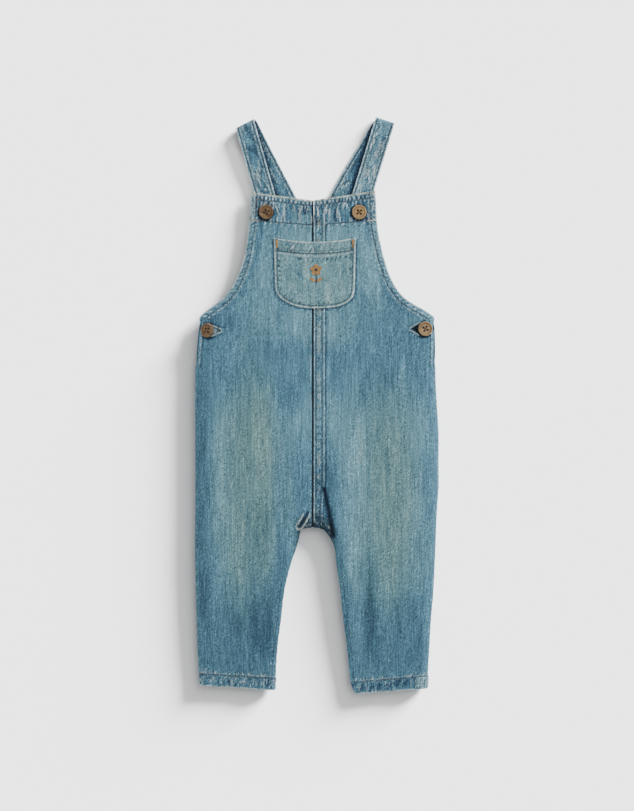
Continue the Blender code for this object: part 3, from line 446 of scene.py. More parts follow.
def curve_through(knots, values):
    """A smooth function through the points that never swings past them."""
    t, v = np.array(knots, float), np.array(values, float)
    step = np.diff(t)
    slope = np.diff(v) / step
    tangent = np.zeros(len(v))
    tangent[0], tangent[-1] = slope[0], slope[-1]
    for i in range(1, len(v) - 1):
        if slope[i - 1] * slope[i] > 0:
            near, far = 2 * step[i] + step[i - 1], step[i] + 2 * step[i - 1]
            tangent[i] = (near + far) / (near / slope[i - 1] + far / slope[i])

    def at(x):
        x = np.clip(np.asarray(x, float), t[0], t[-1])
        i = np.clip(np.searchsorted(t, x, side="right") - 1, 0, len(step) - 1)
        u = (x - t[i]) / step[i]
        return (
            v[i] * (1 + 2 * u) * (1 - u) ** 2
            + tangent[i] * step[i] * u * (1 - u) ** 2
            + v[i + 1] * u * u * (3 - 2 * u)
            + tangent[i + 1] * step[i] * u * u * (u - 1)
        )

    return at


def smooth(edge0, edge1, x):
    """0 at edge0, 1 at edge1 and smooth between, whichever is larger."""
    t = np.clip((np.asarray(x, float) - edge0) / (edge1 - edge0), 0.0, 1.0)
    return t * t * (3 - 2 * t)


def bump(x, centre, width):
    """A soft line of this half width."""
    return np.exp(-(((x - centre) / width) ** 2))


def unit(v):
    return v / np.linalg.norm(v, axis=-1, keepdims=True)


def stacked(x, y, z=None):
    """Points from their coordinates' arrays."""
    return np.stack([x, y] if z is None else [x, y, z], axis=-1)


def nearest_on(line, x, y):
    """Distance from each point to a polyline, the unit direction from the line to the point, and how far
    along the line the nearest place is. The cloth lies to the right of the line's run: a point on the other
    side counts as on the line."""
    a, b = line[:-1], line[1:]
    along = b - a
    p = np.stack([np.asarray(x, float), np.asarray(y, float)], axis=-1)[..., None, :]
    share = np.clip(((p - a) * along).sum(-1) / (along * along).sum(-1), 0, 1)
    off = p - (a + share[..., None] * along)
    distance = np.sqrt((off * off).sum(-1))
    i = distance.argmin(-1)
    pick = i[..., None]
    least = np.take_along_axis(distance, pick, -1)[..., 0]
    to_point = np.take_along_axis(off, i[..., None, None], -2)[..., 0, :]
    length = np.linalg.norm(along, axis=-1)
    normal = (np.stack([along[:, 1], -along[:, 0]], axis=-1) / length[:, None])[i]
    inside = (to_point * normal).sum(-1)
    direction = to_point / np.where(least < 1e-6, 1.0, least)[..., None]
    on_line = (np.abs(inside) < 0.02) | (inside < 0)
    start = np.concatenate([[0.0], np.cumsum(length)])[i]
    run = start + np.take_along_axis(share, pick, -1)[..., 0] * length[i]
    return np.where(inside < 0, 0.0, least), np.where(on_line[..., None], normal, direction), run


def either_side(line, x, y):
    """Distance to a polyline on both of its sides."""
    return nearest_on(line, x, y)[0] + nearest_on(line[::-1], x, y)[0]


def noise1(t, seed):
    """Smooth random values from -1 to 1, one drawn for each whole number."""
    table = np.random.default_rng(seed).uniform(-1, 1, 512)
    i = np.floor(t).astype(int)
    u = t - i
    u = u * u * (3 - 2 * u)
    return table[i % 512] * (1 - u) + table[(i + 1) % 512] * u


def noise2(x, y, seed):
    """Smooth random values from -1 to 1 over a plane."""
    table = np.random.default_rng(seed).uniform(-1, 1, (64, 64))
    i, j = np.floor(x).astype(int), np.floor(y).astype(int)
    u, v = x - i, y - j
    u, v = u * u * (3 - 2 * u), v * v * (3 - 2 * v)
    low = table[i % 64, j % 64] * (1 - u) + table[(i + 1) % 64, j % 64] * u
    high = table[i % 64, (j + 1) % 64] * (1 - u) + table[(i + 1) % 64, (j + 1) % 64] * u
    return low * (1 - v) + high * v


def ripple(along, size, seed):
    """An uneven wave from -1 to 1 whose crests are about size apart."""
    drift = noise1(along / (1.9 * size), seed) * 2.0
    strength = 0.72 + 0.28 * noise1(along / (1.4 * size), seed + 50)
    return np.sin(2 * np.pi * along / size + drift) * strength


# ---- Outline ----

_form = named(FORM_COLUMNS, FORM)
_up = np.argsort(_form["y"])
loft_at, fold_at, free_drop_at, sag_at = (
    curve_through(_form["y"][_up], _form[c][_up]) for c in FORM_COLUMNS[1:]
)


def front_rows(side):
    """Functions of the section number for a front panel's outer and inner edge, and the inset."""
    r, sign = named(ROW_COLUMNS, FRONT_ROWS), SIDES[side]
    n = np.arange(len(FRONT_ROWS))
    left = 1.0 if side == "left" else 0.0
    return {
        "x_out": curve_through(n, sign * r["out_" + side]),
        "y_out": curve_through(n, r["y_out"] - left * r["drop_out_left"]),
        "x_in": curve_through(n, sign * r["in_" + side]),
        "y_in": curve_through(n, r["y_in"] - left * r["drop_in_left"]),
        "inset": curve_through(n, r["inset"]),
    }


FRONTS = {side: front_rows(side) for side in SIDES}


def back_rows(side):
    """The same for a back panel: its own rows at the top, then those it shares with the front."""
    top, sign = named(BACK_TOP_COLUMNS, BACK_TOP_ROWS), SIDES[side]
    shared = np.arange(BACK_JOINS_AT, len(FRONT_ROWS))
    front = FRONTS[side]
    n = np.arange(len(BACK_TOP_ROWS) + len(shared))
    centre = sign * GAP / 2 + CENTRE_BACK
    x_in = np.where(shared <= CROTCH_ROW, centre, front["x_in"](shared))
    return {
        "x_out": curve_through(n, np.append(sign * top["out_" + side], front["x_out"](shared))),
        "y_out": curve_through(n, np.append(top["y_out"], front["y_out"](shared))),
        "x_in": curve_through(n, np.append(np.full(len(top["y_in"]), centre), x_in)),
        "y_in": curve_through(n, np.append(top["y_in"], front["y_in"](shared))),
        "inset": curve_through(n, np.zeros(len(n))),
    }


def edge_line(rows, which, first, last, per_row=4):
    n = np.linspace(first, last, int((last - first) * per_row) + 1)
    return stacked(rows["x_" + which](n), rows["y_" + which](n))


def inward(line, side):
    """The line, given from the top down, ordered so that its right hand is the cloth."""
    return line if side == "left" else line[::-1]


LAST_ROW = len(FRONT_ROWS) - 1
LAST_BACK_ROW = len(BACK_TOP_ROWS) + LAST_ROW - BACK_JOINS_AT
FRONT_EDGE, FRONT_SIDE, BACK_EDGE = {}, {}, {}
for _side in SIDES:
    _top, _edge = FRONTS[_side]["y_in"](0), edge_line(FRONTS[_side], "out", 0, LAST_ROW)
    FRONT_SIDE[_side] = inward(_edge, _side)
    FRONT_EDGE[_side] = inward(np.concatenate([[(CENTRE_FRONT, _top)], _edge]), _side)
    BACK_EDGE[_side] = inward(edge_line(back_rows(_side), "out", 0, LAST_BACK_ROW), _side)
_inner = {side: edge_line(FRONTS[side], "in", CROTCH_ROW, LAST_ROW) for side in SIDES}
INNER_LINE = np.concatenate([_inner["left"][::-1], _inner["right"]])


def row_ends(side, number, in_from_side=0.0, in_from_centre=0.0):
    """The outer and the inner end of a section row of one front, or of a stretch of it."""
    rows = FRONTS[side]
    a, b = (np.array([float(rows[axis + which](number)) for axis in ("x_", "y_")]) for which in ("out", "in"))
    along = unit(b - a)
    return a + along * in_from_side, b - along * in_from_centre


def below_row(side, number, x, y):
    """How far a point lies below a section row of one front, square to it."""
    (x0, y0), (x1, y1) = row_ends(side, number)
    slope = (y1 - y0) / (x1 - x0)
    return (y0 + (x - x0) * slope - y) / math.hypot(1.0, slope)


# ---- Height of the cloth ----


def edges_near(x, y, edge):
    """Each point's distance to the outer edge of its own side and to the inner leg line, with directions."""
    left, right = nearest_on(edge["left"], x, y), nearest_on(edge["right"], x, y)
    on_left = np.asarray(x) > CENTRE_FRONT
    distance = np.where(on_left, left[0], right[0])
    direction = np.where(on_left[..., None], left[1], right[1])
    return (distance, direction), nearest_on(INNER_LINE, x, y)[:2]


def roll(distance, width):
    """Sine and cosine of a quarter turn that is complete at this distance from the edge."""
    cosine = np.clip(1 - distance / width, 0, 1)
    return np.sqrt(np.clip(1 - cosine * cosine, 0, 1)), cosine


def beside(x, y, x0, y0, dx, dy):
    """How far along the line from (x0, y0) by (dx, dy) a point's nearest place is, and the way from there."""
    share = np.clip(((x - x0) * dx + (y - y0) * dy) / (dx * dx + dy * dy), 0, 1)
    return share, x - x0 - share * dx, y - y0 - share * dy


def front_crown(x, y):
    """Height of the front's outer face away from its edges: loft, sag and folds."""
    x, y = np.asarray(x, float), np.asarray(y, float)
    (out, _), (inner, _) = edges_near(x, y, FRONT_EDGE)
    across = out / np.maximum(out + inner, 1e-6)
    in_leg = smooth(*LEGS_BEGIN, y)
    body_sag = smooth(0.12, 0.75, np.minimum(out / 118.0, 1.0))
    leg_sag = np.sin(np.pi * np.clip(across, 0, 1)) ** 2
    height = loft_at(y) - sag_at(y) * (body_sag * (1 - in_leg) + leg_sag * in_leg)
    away = smooth(0.0, 22.0, out) * (1 - in_leg * (1 - smooth(0.0, 16.0, inner)))
    for x0, y0, x1, y1, tall, wide in FOLDS:
        share, off_x, off_y = beside(x, y, x0, y0, x1 - x0, y1 - y0)
        ends = np.sin(np.pi * (0.12 + 0.76 * share))
        height = height + away * tall * bump(np.hypot(off_x, off_y), 0, wide) * ends
    return height


def turned_edge(x, y, edge, drop, free_drop, sewn):
    """How far the cloth has turned away near its edges, and a vector out of its upper face: a quarter
    turn by drop where it is sewn, a slight bend by free_drop where it is not."""
    (out, out_dir), (inner, in_dir) = edges_near(x, y, edge)
    fold = fold_at(y)
    so, co = roll(out, fold)
    si, ci = roll(inner, INSEAM_FOLD)
    steep = drop[..., None] * (
        (co * si * si / fold)[..., None] * out_dir + (ci * so * so / INSEAM_FOLD)[..., None] * in_dir
    )
    bend = (2 * free_drop * co / fold)[..., None] * out_dir
    quarter = np.concatenate([-steep, (so * si)[..., None]], axis=-1)
    slight = np.concatenate([-bend, np.ones_like(so)[..., None]], axis=-1)
    turned = sewn * drop * (1 - so * si) + (1 - sewn) * free_drop * co * co
    normal = sewn[..., None] * quarter + (1 - sewn)[..., None] * slight
    return turned, normal


def front_face(x, y):
    """Height of the front's outer face and its unit normal."""
    x, y = np.asarray(x, float), np.asarray(y, float)
    h = 0.05
    crown = front_crown(x, y)
    slope_x = (front_crown(x + h, y) - front_crown(x - h, y)) / (2 * h)
    slope_y = (front_crown(x, y + h) - front_crown(x, y - h)) / (2 * h)
    seam = SEAM_SHARE * loft_at(y) + GAP / 2
    turned, normal = turned_edge(x, y, FRONT_EDGE, crown - seam, free_drop_at(y), smooth(*SEAMED_FRONT, y))
    normal[..., :2] -= stacked(slope_x, slope_y) * normal[..., 2:]
    return crown - turned, unit(normal)


def back_face(x, y):
    """Height of the back's outer face, which lies on the surface, and its unit normal."""
    x, y = np.asarray(x, float), np.asarray(y, float)
    rise = SEAM_SHARE * loft_at(y) - GAP / 2
    free = np.full(y.shape, BACK_FREE_RISE)
    height, normal = turned_edge(x, y, BACK_EDGE, rise, free, smooth(*SEAMED_BACK, y))
    normal[..., 2] = -normal[..., 2]
    return height, unit(normal)


# ---- What sewing and washing do to the cloth ----


# deep above 1 is painted shade: the wash turns it towards near black.
MASK_LIMITS = {"fade": (-1.7, 1.9), "warm": (0.0, 1.3), "rub": (0.0, 1.0), "deep": (0.0, 1.6)}


class Wear:
    """Height along the normal (mm) and the masks of one patch of cloth: rub, rubbed pale; deep, kept
    dark by wear, and painted shade in grooves, creases and under raised edges; fade and warm, the wash."""

    LAYERS = ("height", *MASK_LIMITS)

    def __init__(self, x):
        for key in self.LAYERS:
            setattr(self, key, np.zeros(np.shape(x)))
        self.pucker = chosen("cloth").pucker / MM

    @classmethod
    def over(cls, function, x, y):
        """A wear function's result over a whole grid."""
        whole = cls(x)
        for key, values in zip(cls.LAYERS, in_chunks(lambda a, b: function(a, b).layers(), x, y)):
            setattr(whole, key, values)
        return whole

    def layers(self):
        return [getattr(self, key) for key in self.LAYERS]

    def rubbed(self, amount):
        self.rub = np.maximum(self.rub, amount)

    def darkened(self, amount):
        self.deep = np.maximum(self.deep, amount)

    def unrubbed(self, amount):
        self.rub = self.rub * (1 - amount)

    def puckered(self, near, wave, tall=1.0, rub=0.8, deep=0.8):
        """Crests rubbed and troughs kept dark, where near is 1."""
        wave = np.tanh(1.8 * wave)
        self.height += self.pucker * tall * near * wave
        self.rubbed(rub * near * smooth(0.1, 0.95, wave))
        self.darkened(deep * near * smooth(0.05, 0.9, -wave))

    def wrinkled(self, near, across, along, pitch, length, seed, rub, deep):
        """Crumples: thin pale creases that run with the second coordinate, soft dark hollows between."""
        swell = noise2(across / pitch, along / length, seed)
        detail = noise2(across / (0.42 * pitch), along / (0.45 * length), seed + 1)
        strength = smooth(-0.45, 0.55, noise2(across / (1.6 * pitch), along / (0.8 * length), seed + 2))
        crest = np.clip(1 - 4.4 * np.abs(swell + 0.22 * detail), 0, 1) * strength
        self.height += self.pucker * near * (0.9 * crest + 0.45 * detail)
        self.rubbed(rub * near * crest**0.7)
        self.fade += 0.3 * near * detail
        self.darkened(deep * near * smooth(0.0, 0.75, 0.6 * swell + 0.7 * detail) * (1 - crest))

    def strewn(self, kind, near, across, along, reach, seed):
        """Short sharp pale creases, each with a dark hollow beside it. reach is the least and most across and
        along, and a crease leans from the second coordinate."""
        count, length, width, slope, rub, deep = STREWN[kind]
        draw = np.random.default_rng(seed)
        for _ in range(count):
            middle, place = draw.uniform(*reach[:2]), draw.uniform(*reach[2:])
            half, strength = length * draw.uniform(0.3, 0.65), draw.uniform(0.55, 1.0)
            lean, curl, hand = draw.uniform(-slope, slope), draw.uniform(-1.6, 1.6), draw.choice((-1.0, 1.0))
            t = (along - place) / half
            off = across - middle - lean * (along - place) - curl * t * t
            ends = strength * near * np.clip(1 - t * t, 0, 1) ** 0.6
            crest = ends * bump(off, 0.0, width)
            self.rubbed(rub * crest)
            self.darkened(deep * ends * bump(off, 2.0 * hand * width, 1.3 * width) * (1 - crest))
            self.height += 0.8 * self.pucker * crest

    def stitched(self, offset, near=1.0, deep=0.9, width=0.7):
        """The groove that a row of stitches pulls in: sunk, and darkened, partly unworn indigo and partly
        painted shade in the groove.
        """
        groove = near * bump(offset, 0.0, width)
        self.height -= 0.28 * groove
        self.darkened(deep * groove)
        self.unrubbed(0.9 * groove)

    def edged(self, edge, along, width, seed, amount=0.9, near=1.0):
        """A folded edge, rubbed pale over this width, more in some places than in others."""
        uneven = 0.80 + 0.20 * noise1(along / 2.3, seed) + 0.16 * noise1(along / 7.0, seed + 1)
        self.rubbed(near * amount * uneven * smooth(width * 1.25, width * 0.55, edge))

    def washed(self, x, y, zones):
        for _, x0, y0, reach_x, reach_y, fade, warm in zones:
            amount = np.exp(-(((x - x0) / reach_x) ** 2) - np.abs((y - y0) / reach_y) ** 3)
            self.fade += fade * amount
            self.warm += warm * amount

    def creased(self, x, y, creases):
        """Long soft ridges (tone above 0) and troughs (below 0), each from one place to another."""
        for k, (x0, y0, x1, y1, width, tone) in enumerate(creases):
            dx, dy = x1 - x0, y1 - y0
            share, off_x, off_y = beside(x, y, x0, y0, dx, dy)
            off = np.hypot(off_x, off_y) * np.sign(off_x * dy - off_y * dx)
            off = off + 0.4 * width * noise1(share * math.hypot(dx, dy) / 15.0, 300 + k)
            amount = tone * bump(off, 0, width) * np.sin(np.pi * (0.06 + 0.88 * share)) ** 0.7
            self.fade += 0.75 * amount
            self.height += 0.55 * amount


def hem_wear(w, side, x, y):
    """The leg hem: double cloth that ropes into soft ridges below its one row of stitches."""
    hem, bottom = below_row(side, HEM_ROW, x, y), below_row(side, LAST_ROW, x, y)
    seed, ends = (31 if side == "right" else 32), HEM_ENDS[side]
    inside = smooth(-0.5, 0.4, hem)
    w.height += HEM_RELIEF * inside
    slant = x + 0.2 * hem
    ridges = 0.55 * ripple(slant, 9.5, seed) + 0.9 * noise2(slant / 4.4, hem / 6.0, seed + 1)
    w.puckered(inside * smooth(0.2, 2.4, hem) * smooth(14.0, 5.0, hem), ridges, 0.7, 0.30, 0.75)
    w.strewn("hem", inside * smooth(0.3, 1.2, hem), x, hem, (*ends, 2.0, 12.0), seed + 2)
    w.fade += inside * (0.4 * noise2(x / 12.0, hem / 9.0, seed + 3) - 0.15)
    above = smooth(-5.0, -0.8, hem) * (1 - inside)
    crests = 0.35 * ripple(slant, 6.2, seed + 4) + 1.0 * noise2(x / 3.0, hem / 4.5, seed + 6)
    w.puckered(above, crests, 0.4, 0.15, 0.3)
    w.strewn("above hem", smooth(-0.4, -1.0, hem), x, hem, (*ends, -2.6, -1.2), seed + 8)
    w.rubbed(0.5 * bump(hem, -1.5, 0.6) * (0.75 + 0.25 * ripple(x, 3.4, seed + 7)))
    w.edged(-bottom, x, 1.2, seed + 5, 0.75)
    w.stitched(hem)


def armhole_wear(w, side, edge, along, y, start):
    """The narrow hem round the armhole, pulled into slanting ticks."""
    here = smooth(*start, y)
    inside = here * smooth(ARMHOLE_STITCH + 0.9, ARMHOLE_STITCH + 0.1, edge)
    seed = 41 if side == "right" else 42
    w.height += ARMHOLE_RELIEF * inside
    slant = along + 0.9 * SIDES[side] * edge
    ticks = ripple(slant, 4.2, seed) + 0.45 * noise1(slant / 1.7, seed + 1)
    w.fade += 0.25 * inside
    w.puckered(inside * smooth(0.6, 2.0, edge), ticks, 0.75, 0.42, 0.62)
    w.edged(edge, along, 1.1, seed + 2, 0.85, here)
    beyond = here * (1 - inside)
    ticks = ripple(slant, 5.2, seed + 3)
    w.puckered(beyond * smooth(ARMHOLE_STITCH + 4.5, ARMHOLE_STITCH + 0.8, edge), ticks, 0.5, 0.55, 0.3)
    w.rubbed(0.35 * beyond * bump(edge, ARMHOLE_STITCH + 1.6, 0.8))
    w.fade -= 0.45 * beyond * bump(edge, 10.5, 3.0)
    w.stitched(edge - ARMHOLE_STITCH, here)


def fell_narrowing(y):
    """How much narrower the centre front's fell gets towards the crotch."""
    return 1 + 0.28 * smooth(-70.0, -112.0, y)


def fell_wear(w, across, along, seed, near=1.0):
    """A felled seam, from its folded edge at 0 to the end of its layers."""
    inside = near * smooth(-0.05, 0.25, across) * smooth(FELL_WIDTH + 0.5, FELL_WIDTH - 0.2, across)
    w.height += FELL_RELIEF * inside
    middle = smooth(FELL_STITCHES[0] + 0.4, FELL_STITCHES[0] + 1.6, across)
    middle = middle * smooth(FELL_STITCHES[1] - 0.4, FELL_STITCHES[1] - 1.6, across)
    blotches = ripple(along, 8.4, seed) + 0.5 * noise2(across / 2.2, along / 3.0, seed + 1)
    w.puckered(inside * middle, blotches, 0.7, 0.22, 0.6)
    paler = inside * middle * smooth(-0.7, 0.5, noise2(across / 5.0, along / 5.0, seed + 5))
    w.rubbed(0.33 * paler)
    w.warm += 0.5 * paler
    w.edged(across, along, 1.2, seed + 2, 0.8, inside * smooth(-0.1, 0.2, across))
    w.edged(FELL_WIDTH - across, along, 1.0, seed + 4, 0.5, inside)
    # Painted shade: a dark line in the crease just beyond the fell's far edge.
    w.darkened(0.85 * near * bump(across, FELL_WIDTH + 1.1, 0.9))
    for row in FELL_STITCHES:
        w.stitched(across - row, inside, 0.95, 0.65)


def band_wear(w, side, x, y, edge, seed):
    """The bib band: ticks over its top row of stitches, strokes and wrinkles under it, a turned side."""
    top, band = below_row(side, 0, x, y), below_row(side, BAND_ROW, x, y)
    stitch = below_row(side, STITCH_ROW, x, y)
    on_band = smooth(0.3, -0.4, band)
    w.height += BAND_RELIEF * on_band
    w.fade -= 0.22 * on_band
    ticks = ripple(x, 3.7, seed + 2) + 0.35 * noise1(x / 1.9, seed)
    w.puckered(on_band * smooth(0.3, -0.6, stitch) * smooth(1.8, 3.0, top), ticks, 0.5, 0.75, 0.8)
    strokes = ripple(x + 0.1 * stitch, 4.3, seed + 3) + 0.5 * noise1(x / 2.6, seed + 4)
    field = on_band * smooth(0.2, 1.4, stitch)
    w.puckered(field * smooth(9.5, 1.5, stitch), strokes, 0.6, 0.34, 0.75)
    w.fade += field * (0.35 * noise2(x / 3.4, y / 9.0, seed + 6) + 0.4 * noise2(x / 8.0, y / 12.0, seed + 7))
    w.darkened(0.85 * field * smooth(0.1, 0.6, noise2(x / 3.6, y / 8.5, seed + 14)))
    w.strewn("band", field, x, y, BAND_REACH, seed + 5)
    w.puckered(field * smooth(-5.0, -0.8, band), ripple(x, 5.0, seed + 9), 0.5, 0.35, 0.3)
    turned = on_band * smooth(BAND_SIDE_STITCH + 0.4, BAND_SIDE_STITCH - 0.6, edge)
    ticks = ripple(y, 3.9, seed + 10) + 0.5 * noise1(y / 1.6, seed)
    w.puckered(turned * smooth(0.8, 2.0, edge), ticks, 0.5, 0.5, 0.7)
    w.edged(edge, y, 1.3, seed + 11, 0.8, on_band)
    w.edged(top, x, 2.1, seed + 13, 1.0)
    w.edged(np.hypot(edge, np.maximum(top, 0.0)), x, 6.0, seed + 12, 0.9)
    w.warm += 0.9 * smooth(3.0, 1.0, top)
    w.stitched(edge - BAND_SIDE_STITCH, on_band * smooth(-0.5, 0.5, stitch))
    w.stitched(stitch, on_band * smooth(3.0, 4.5, edge))
    below = 1 - on_band
    w.puckered(below * smooth(6.5, 0.5, band), ripple(x + 0.4 * band, 6.0, seed + 15), 0.5, 0.42, 0.4)
    w.stitched(band, deep=0.8, width=0.6)


def crotch_wear(w, x, y, inner, seed):
    """Where the seams meet: painted shadow in a valley on the left, painted shade along the inner edge and in
    a tuck, and short crumples pulled in by the cross stitch.
    """
    valley = either_side(CROTCH_VALLEY, x, y)
    width = 2.0 + 1.5 * smooth(-90.0, -128.0, y)
    shadow = bump(valley, 0, width)
    w.darkened(1.55 * shadow)
    w.height -= 0.9 * shadow
    w.unrubbed(shadow)
    crumple = bump(inner, 5.0, 9.0) * smooth(-96.0, -106.0, y) * smooth(24.0, 14.0, np.abs(x + 2.0))
    w.wrinkled(crumple, x + 0.7 * y, y - 0.3 * x, 4.0, 7.0, seed, 0.4, 1.1)
    # Painted shade along the inner edge below the cross stitch.
    w.darkened(1.0 * bump(inner, 1.0, 2.4) * smooth(-104.0, -112.0, y) * smooth(22.0, 12.0, np.abs(x + 2.0)))
    tuck = either_side(CROTCH_TUCK, x, y)
    # Painted shade in the tuck, which is also sunk.
    w.darkened(1.4 * bump(tuck, 0.0, 1.5))
    w.height -= 0.7 * bump(tuck, 0.0, 1.8)
    w.rubbed(0.8 * bump(tuck, 3.0, 0.8) * smooth(-105.0, -109.0, y))
    w.fade -= 1.1 * crumple
    w.warm += 0.9 * crumple


def buttonhole_wear(w, side, x, y):
    """Cloth pulled towards the buttons, with a painted shadow at each button's lower left; each side
    buttonhole is a slit that narrows to a point, painted with shade inside and beside it.
    """
    for name, spot in BUTTONS.items():
        if not name.endswith(side):
            continue
        b = dict(zip(BUTTON_COLUMNS, spot))
        away = np.hypot(x - b["x"], y - b["y"])
        # Painted shadow of the button: a crescent just outside it, to the lower left.
        w.darkened(1.3 * smooth(9.6, 8.0, np.hypot(x - b["x"] + 0.9, y - b["y"] + 0.5)))
        w.height -= 0.35 * smooth(12.0, 6.0, away)
        if name.startswith("shoulder"):
            continue
        start, widening = BUTTONHOLES[side]
        reach = SIDES[side] * (x - b["x"]) + start
        aside = np.abs(y - b["y"])
        here = smooth(-0.6, 0.4, reach) * smooth(10.5, 8.5, reach)
        open_to = SLIT + widening * np.clip(reach, 0, 12)
        gape = here * smooth(open_to + 0.3, open_to - 0.4, aside)
        w.height -= 0.9 * gape
        lip = here * bump(aside, open_to + 0.9, 0.75)
        w.height += 0.35 * lip
        shade = smooth(-7.0, -1.0, reach) * smooth(12.0, 8.0, reach)
        w.darkened(0.62 * shade * bump(aside, open_to + 3.0, 1.3))
        w.rubbed(0.75 * lip)
        w.deep = w.deep * (1 - lip)
        # Painted shade inside the open slit.
        w.darkened(1.4 * gape)
        w.unrubbed(gape)


def front_wear(side, x, y):
    """Everything that the sewing and the wash do to one front, and the shade painted on it: beside the centre
    seam, in the crotch, round the pocket and beside the buttons.
    """
    w = Wear(x)
    left, sign = side == "left", SIDES[side]
    seed = 10 if left else 20
    edge, _, along = nearest_on(FRONT_SIDE[side], x, y)
    inner = nearest_on(INNER_LINE, x, y)[0]
    centre = (x - CENTRE_FRONT) * sign
    w.washed(x, y, FRONT_WASH)
    w.creased(x, y, FRONT_CREASES)
    w.height += 0.25 * noise2(x / 26, y / 34, seed) + 0.12 * noise2(x / 11, y / 30, seed + 1)
    w.fade += 0.10 * noise2(x / 9, y / 22, seed + 2) + 0.08 * noise2(x / 4, y / 13, seed + 3)
    band_wear(w, side, x, y, edge, 5 * seed)
    armhole_wear(w, side, edge, along, y, (84.0, 89.0))

    # Side opening, outer seam and inner leg seam.
    opening = smooth(34.0, 44.0, y) * smooth(88.0, 80.0, y)
    w.rubbed(0.4 * opening * bump(edge, 4.3, 0.8))
    w.darkened(0.6 * opening * bump(edge, 6.0, 0.8))
    seamed = smooth(40.0, 30.0, y)
    w.puckered(seamed * smooth(4.5, 0.5, edge), ripple(along, 11.0, seed + 6), 0.35, 0.26, 0.25)
    legs = smooth(-150.0, -185.0, y)
    w.puckered(legs * smooth(4.0, 0.5, inner), ripple(y, 9.5, seed + 7), 0.5, 0.12, 0.5)
    w.rubbed(0.3 * legs * bump(inner, 5.4, 0.8) * (0.6 + 0.4 * noise1(y / 9.0, seed + 8)))
    w.darkened(0.55 * legs * bump(inner, 3.8, 0.7))

    # Centre front seam, down to the crotch.
    if left:
        fell_wear(w, centre * fell_narrowing(y), y, 61, smooth(-119.0, -114.0, y))
        w.stitched(y - CROTCH_STITCH_Y, smooth(9.0, 7.0, centre), 0.9, 0.6)
    else:
        # Right of the seam: the crease beside the fell's folded edge is sunk and painted with near-black
        # shade, with a rubbed line beyond.
        w.unrubbed(1 - smooth(0.8, 2.0, centre))
        w.darkened(1.5 * smooth(2.2, 1.2, centre))
        w.height -= 0.8 * smooth(2.2, 1.0, centre)
        w.rubbed(0.45 * bump(centre, 3.1, 0.7) * (0.6 + 0.4 * noise1(y / 6.0, 62)))
    crotch_wear(w, x, y, inner, seed + 9)
    hem_wear(w, side, x, y)
    if left:
        hem = below_row(side, HEM_ROW, x, y)
        patch = smooth(-0.6, 0.6, hem) * smooth(-1.0, 0.0, x - HEM_PATCH)
        w.height += 0.4 * patch
        w.fade += 0.9 * patch
        w.deep = w.deep * (1 - 0.9 * patch)
        w.rubbed(0.35 * patch)
        w.darkened(0.7 * smooth(-1.2, 0.6, hem) * bump(x, HEM_PATCH - 0.3, 0.7))
        for row in HEM_PATCH_ROWS:
            w.stitched(x - row, patch, 0.5, 0.45)
    outside = nearest_on(POCKET_RIM[::-1], x, y)[0]
    shadow = smooth(0.1, 0.6, outside) * smooth(3.2, 1.2, outside) * smooth(POCKET_TOP, POCKET_TOP - 3.0, y)
    w.darkened(0.8 * shadow)
    buttonhole_wear(w, side, x, y)
    return w


def back_wear(side, x, y):
    """The same for a back; its face lies on the surface, so nothing stands out below it."""
    w = Wear(x)
    edge, _, along = nearest_on(BACK_EDGE[side], x, y)
    inner = nearest_on(INNER_LINE, x, y)[0]
    seed = 70 if side == "left" else 80
    w.washed(x, y, BACK_WASH)
    w.creased(x, y, BACK_CREASES)
    armhole_wear(w, side, edge, along, y, (84.0, 92.0))
    top = BACK_TOP_ROWS[0][1] - y
    w.edged(top, x, 1.6, seed + 1)
    w.puckered(smooth(7.0, 5.0, top), ripple(x, 4.0, seed), 0.6)
    w.stitched(top - 6.0)
    legs = smooth(-150.0, -185.0, y)
    w.puckered(legs * smooth(4.0, 0.5, inner), ripple(y, 9.5, seed + 7), 0.4, 0.45, 0.35)
    if side == "left":
        fell_wear(w, (x - CENTRE_BACK) * SIDES[side], y, 63)
    hem_wear(w, side, x, y)
    return w


# ---- Meshes ----


def finished(made, material, stands_for=None):
    """Gives a piece its material and places it in the frame."""
    made.data.materials.clear()
    made.data.materials.append(material)
    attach(made, BODY)
    if stands_for:
        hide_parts(stands_for)
    return made


def linked(name, mesh):
    made = bpy.data.objects.new(name, mesh)
    bpy.context.scene.collection.objects.link(made)
    return made


def mesh_of(name, points, faces, attributes=None):
    """A smooth-shaded mesh from points in millimetres, with one float attribute for each named array."""
    mesh = bpy.data.meshes.new(name)
    mesh.from_pydata((np.asarray(points) * MM).tolist(), [], faces)
    for key, values in (attributes or {}).items():
        layer = mesh.attributes.new(key, "FLOAT", "POINT")
        layer.data.foreach_set("value", np.asarray(values, np.float32).ravel())
    mesh.validate()
    mesh.shade_smooth()
    return mesh


WEAR_INSIDE = 0.3  # how much of the rubbing and the dark troughs shows through to the wrong side


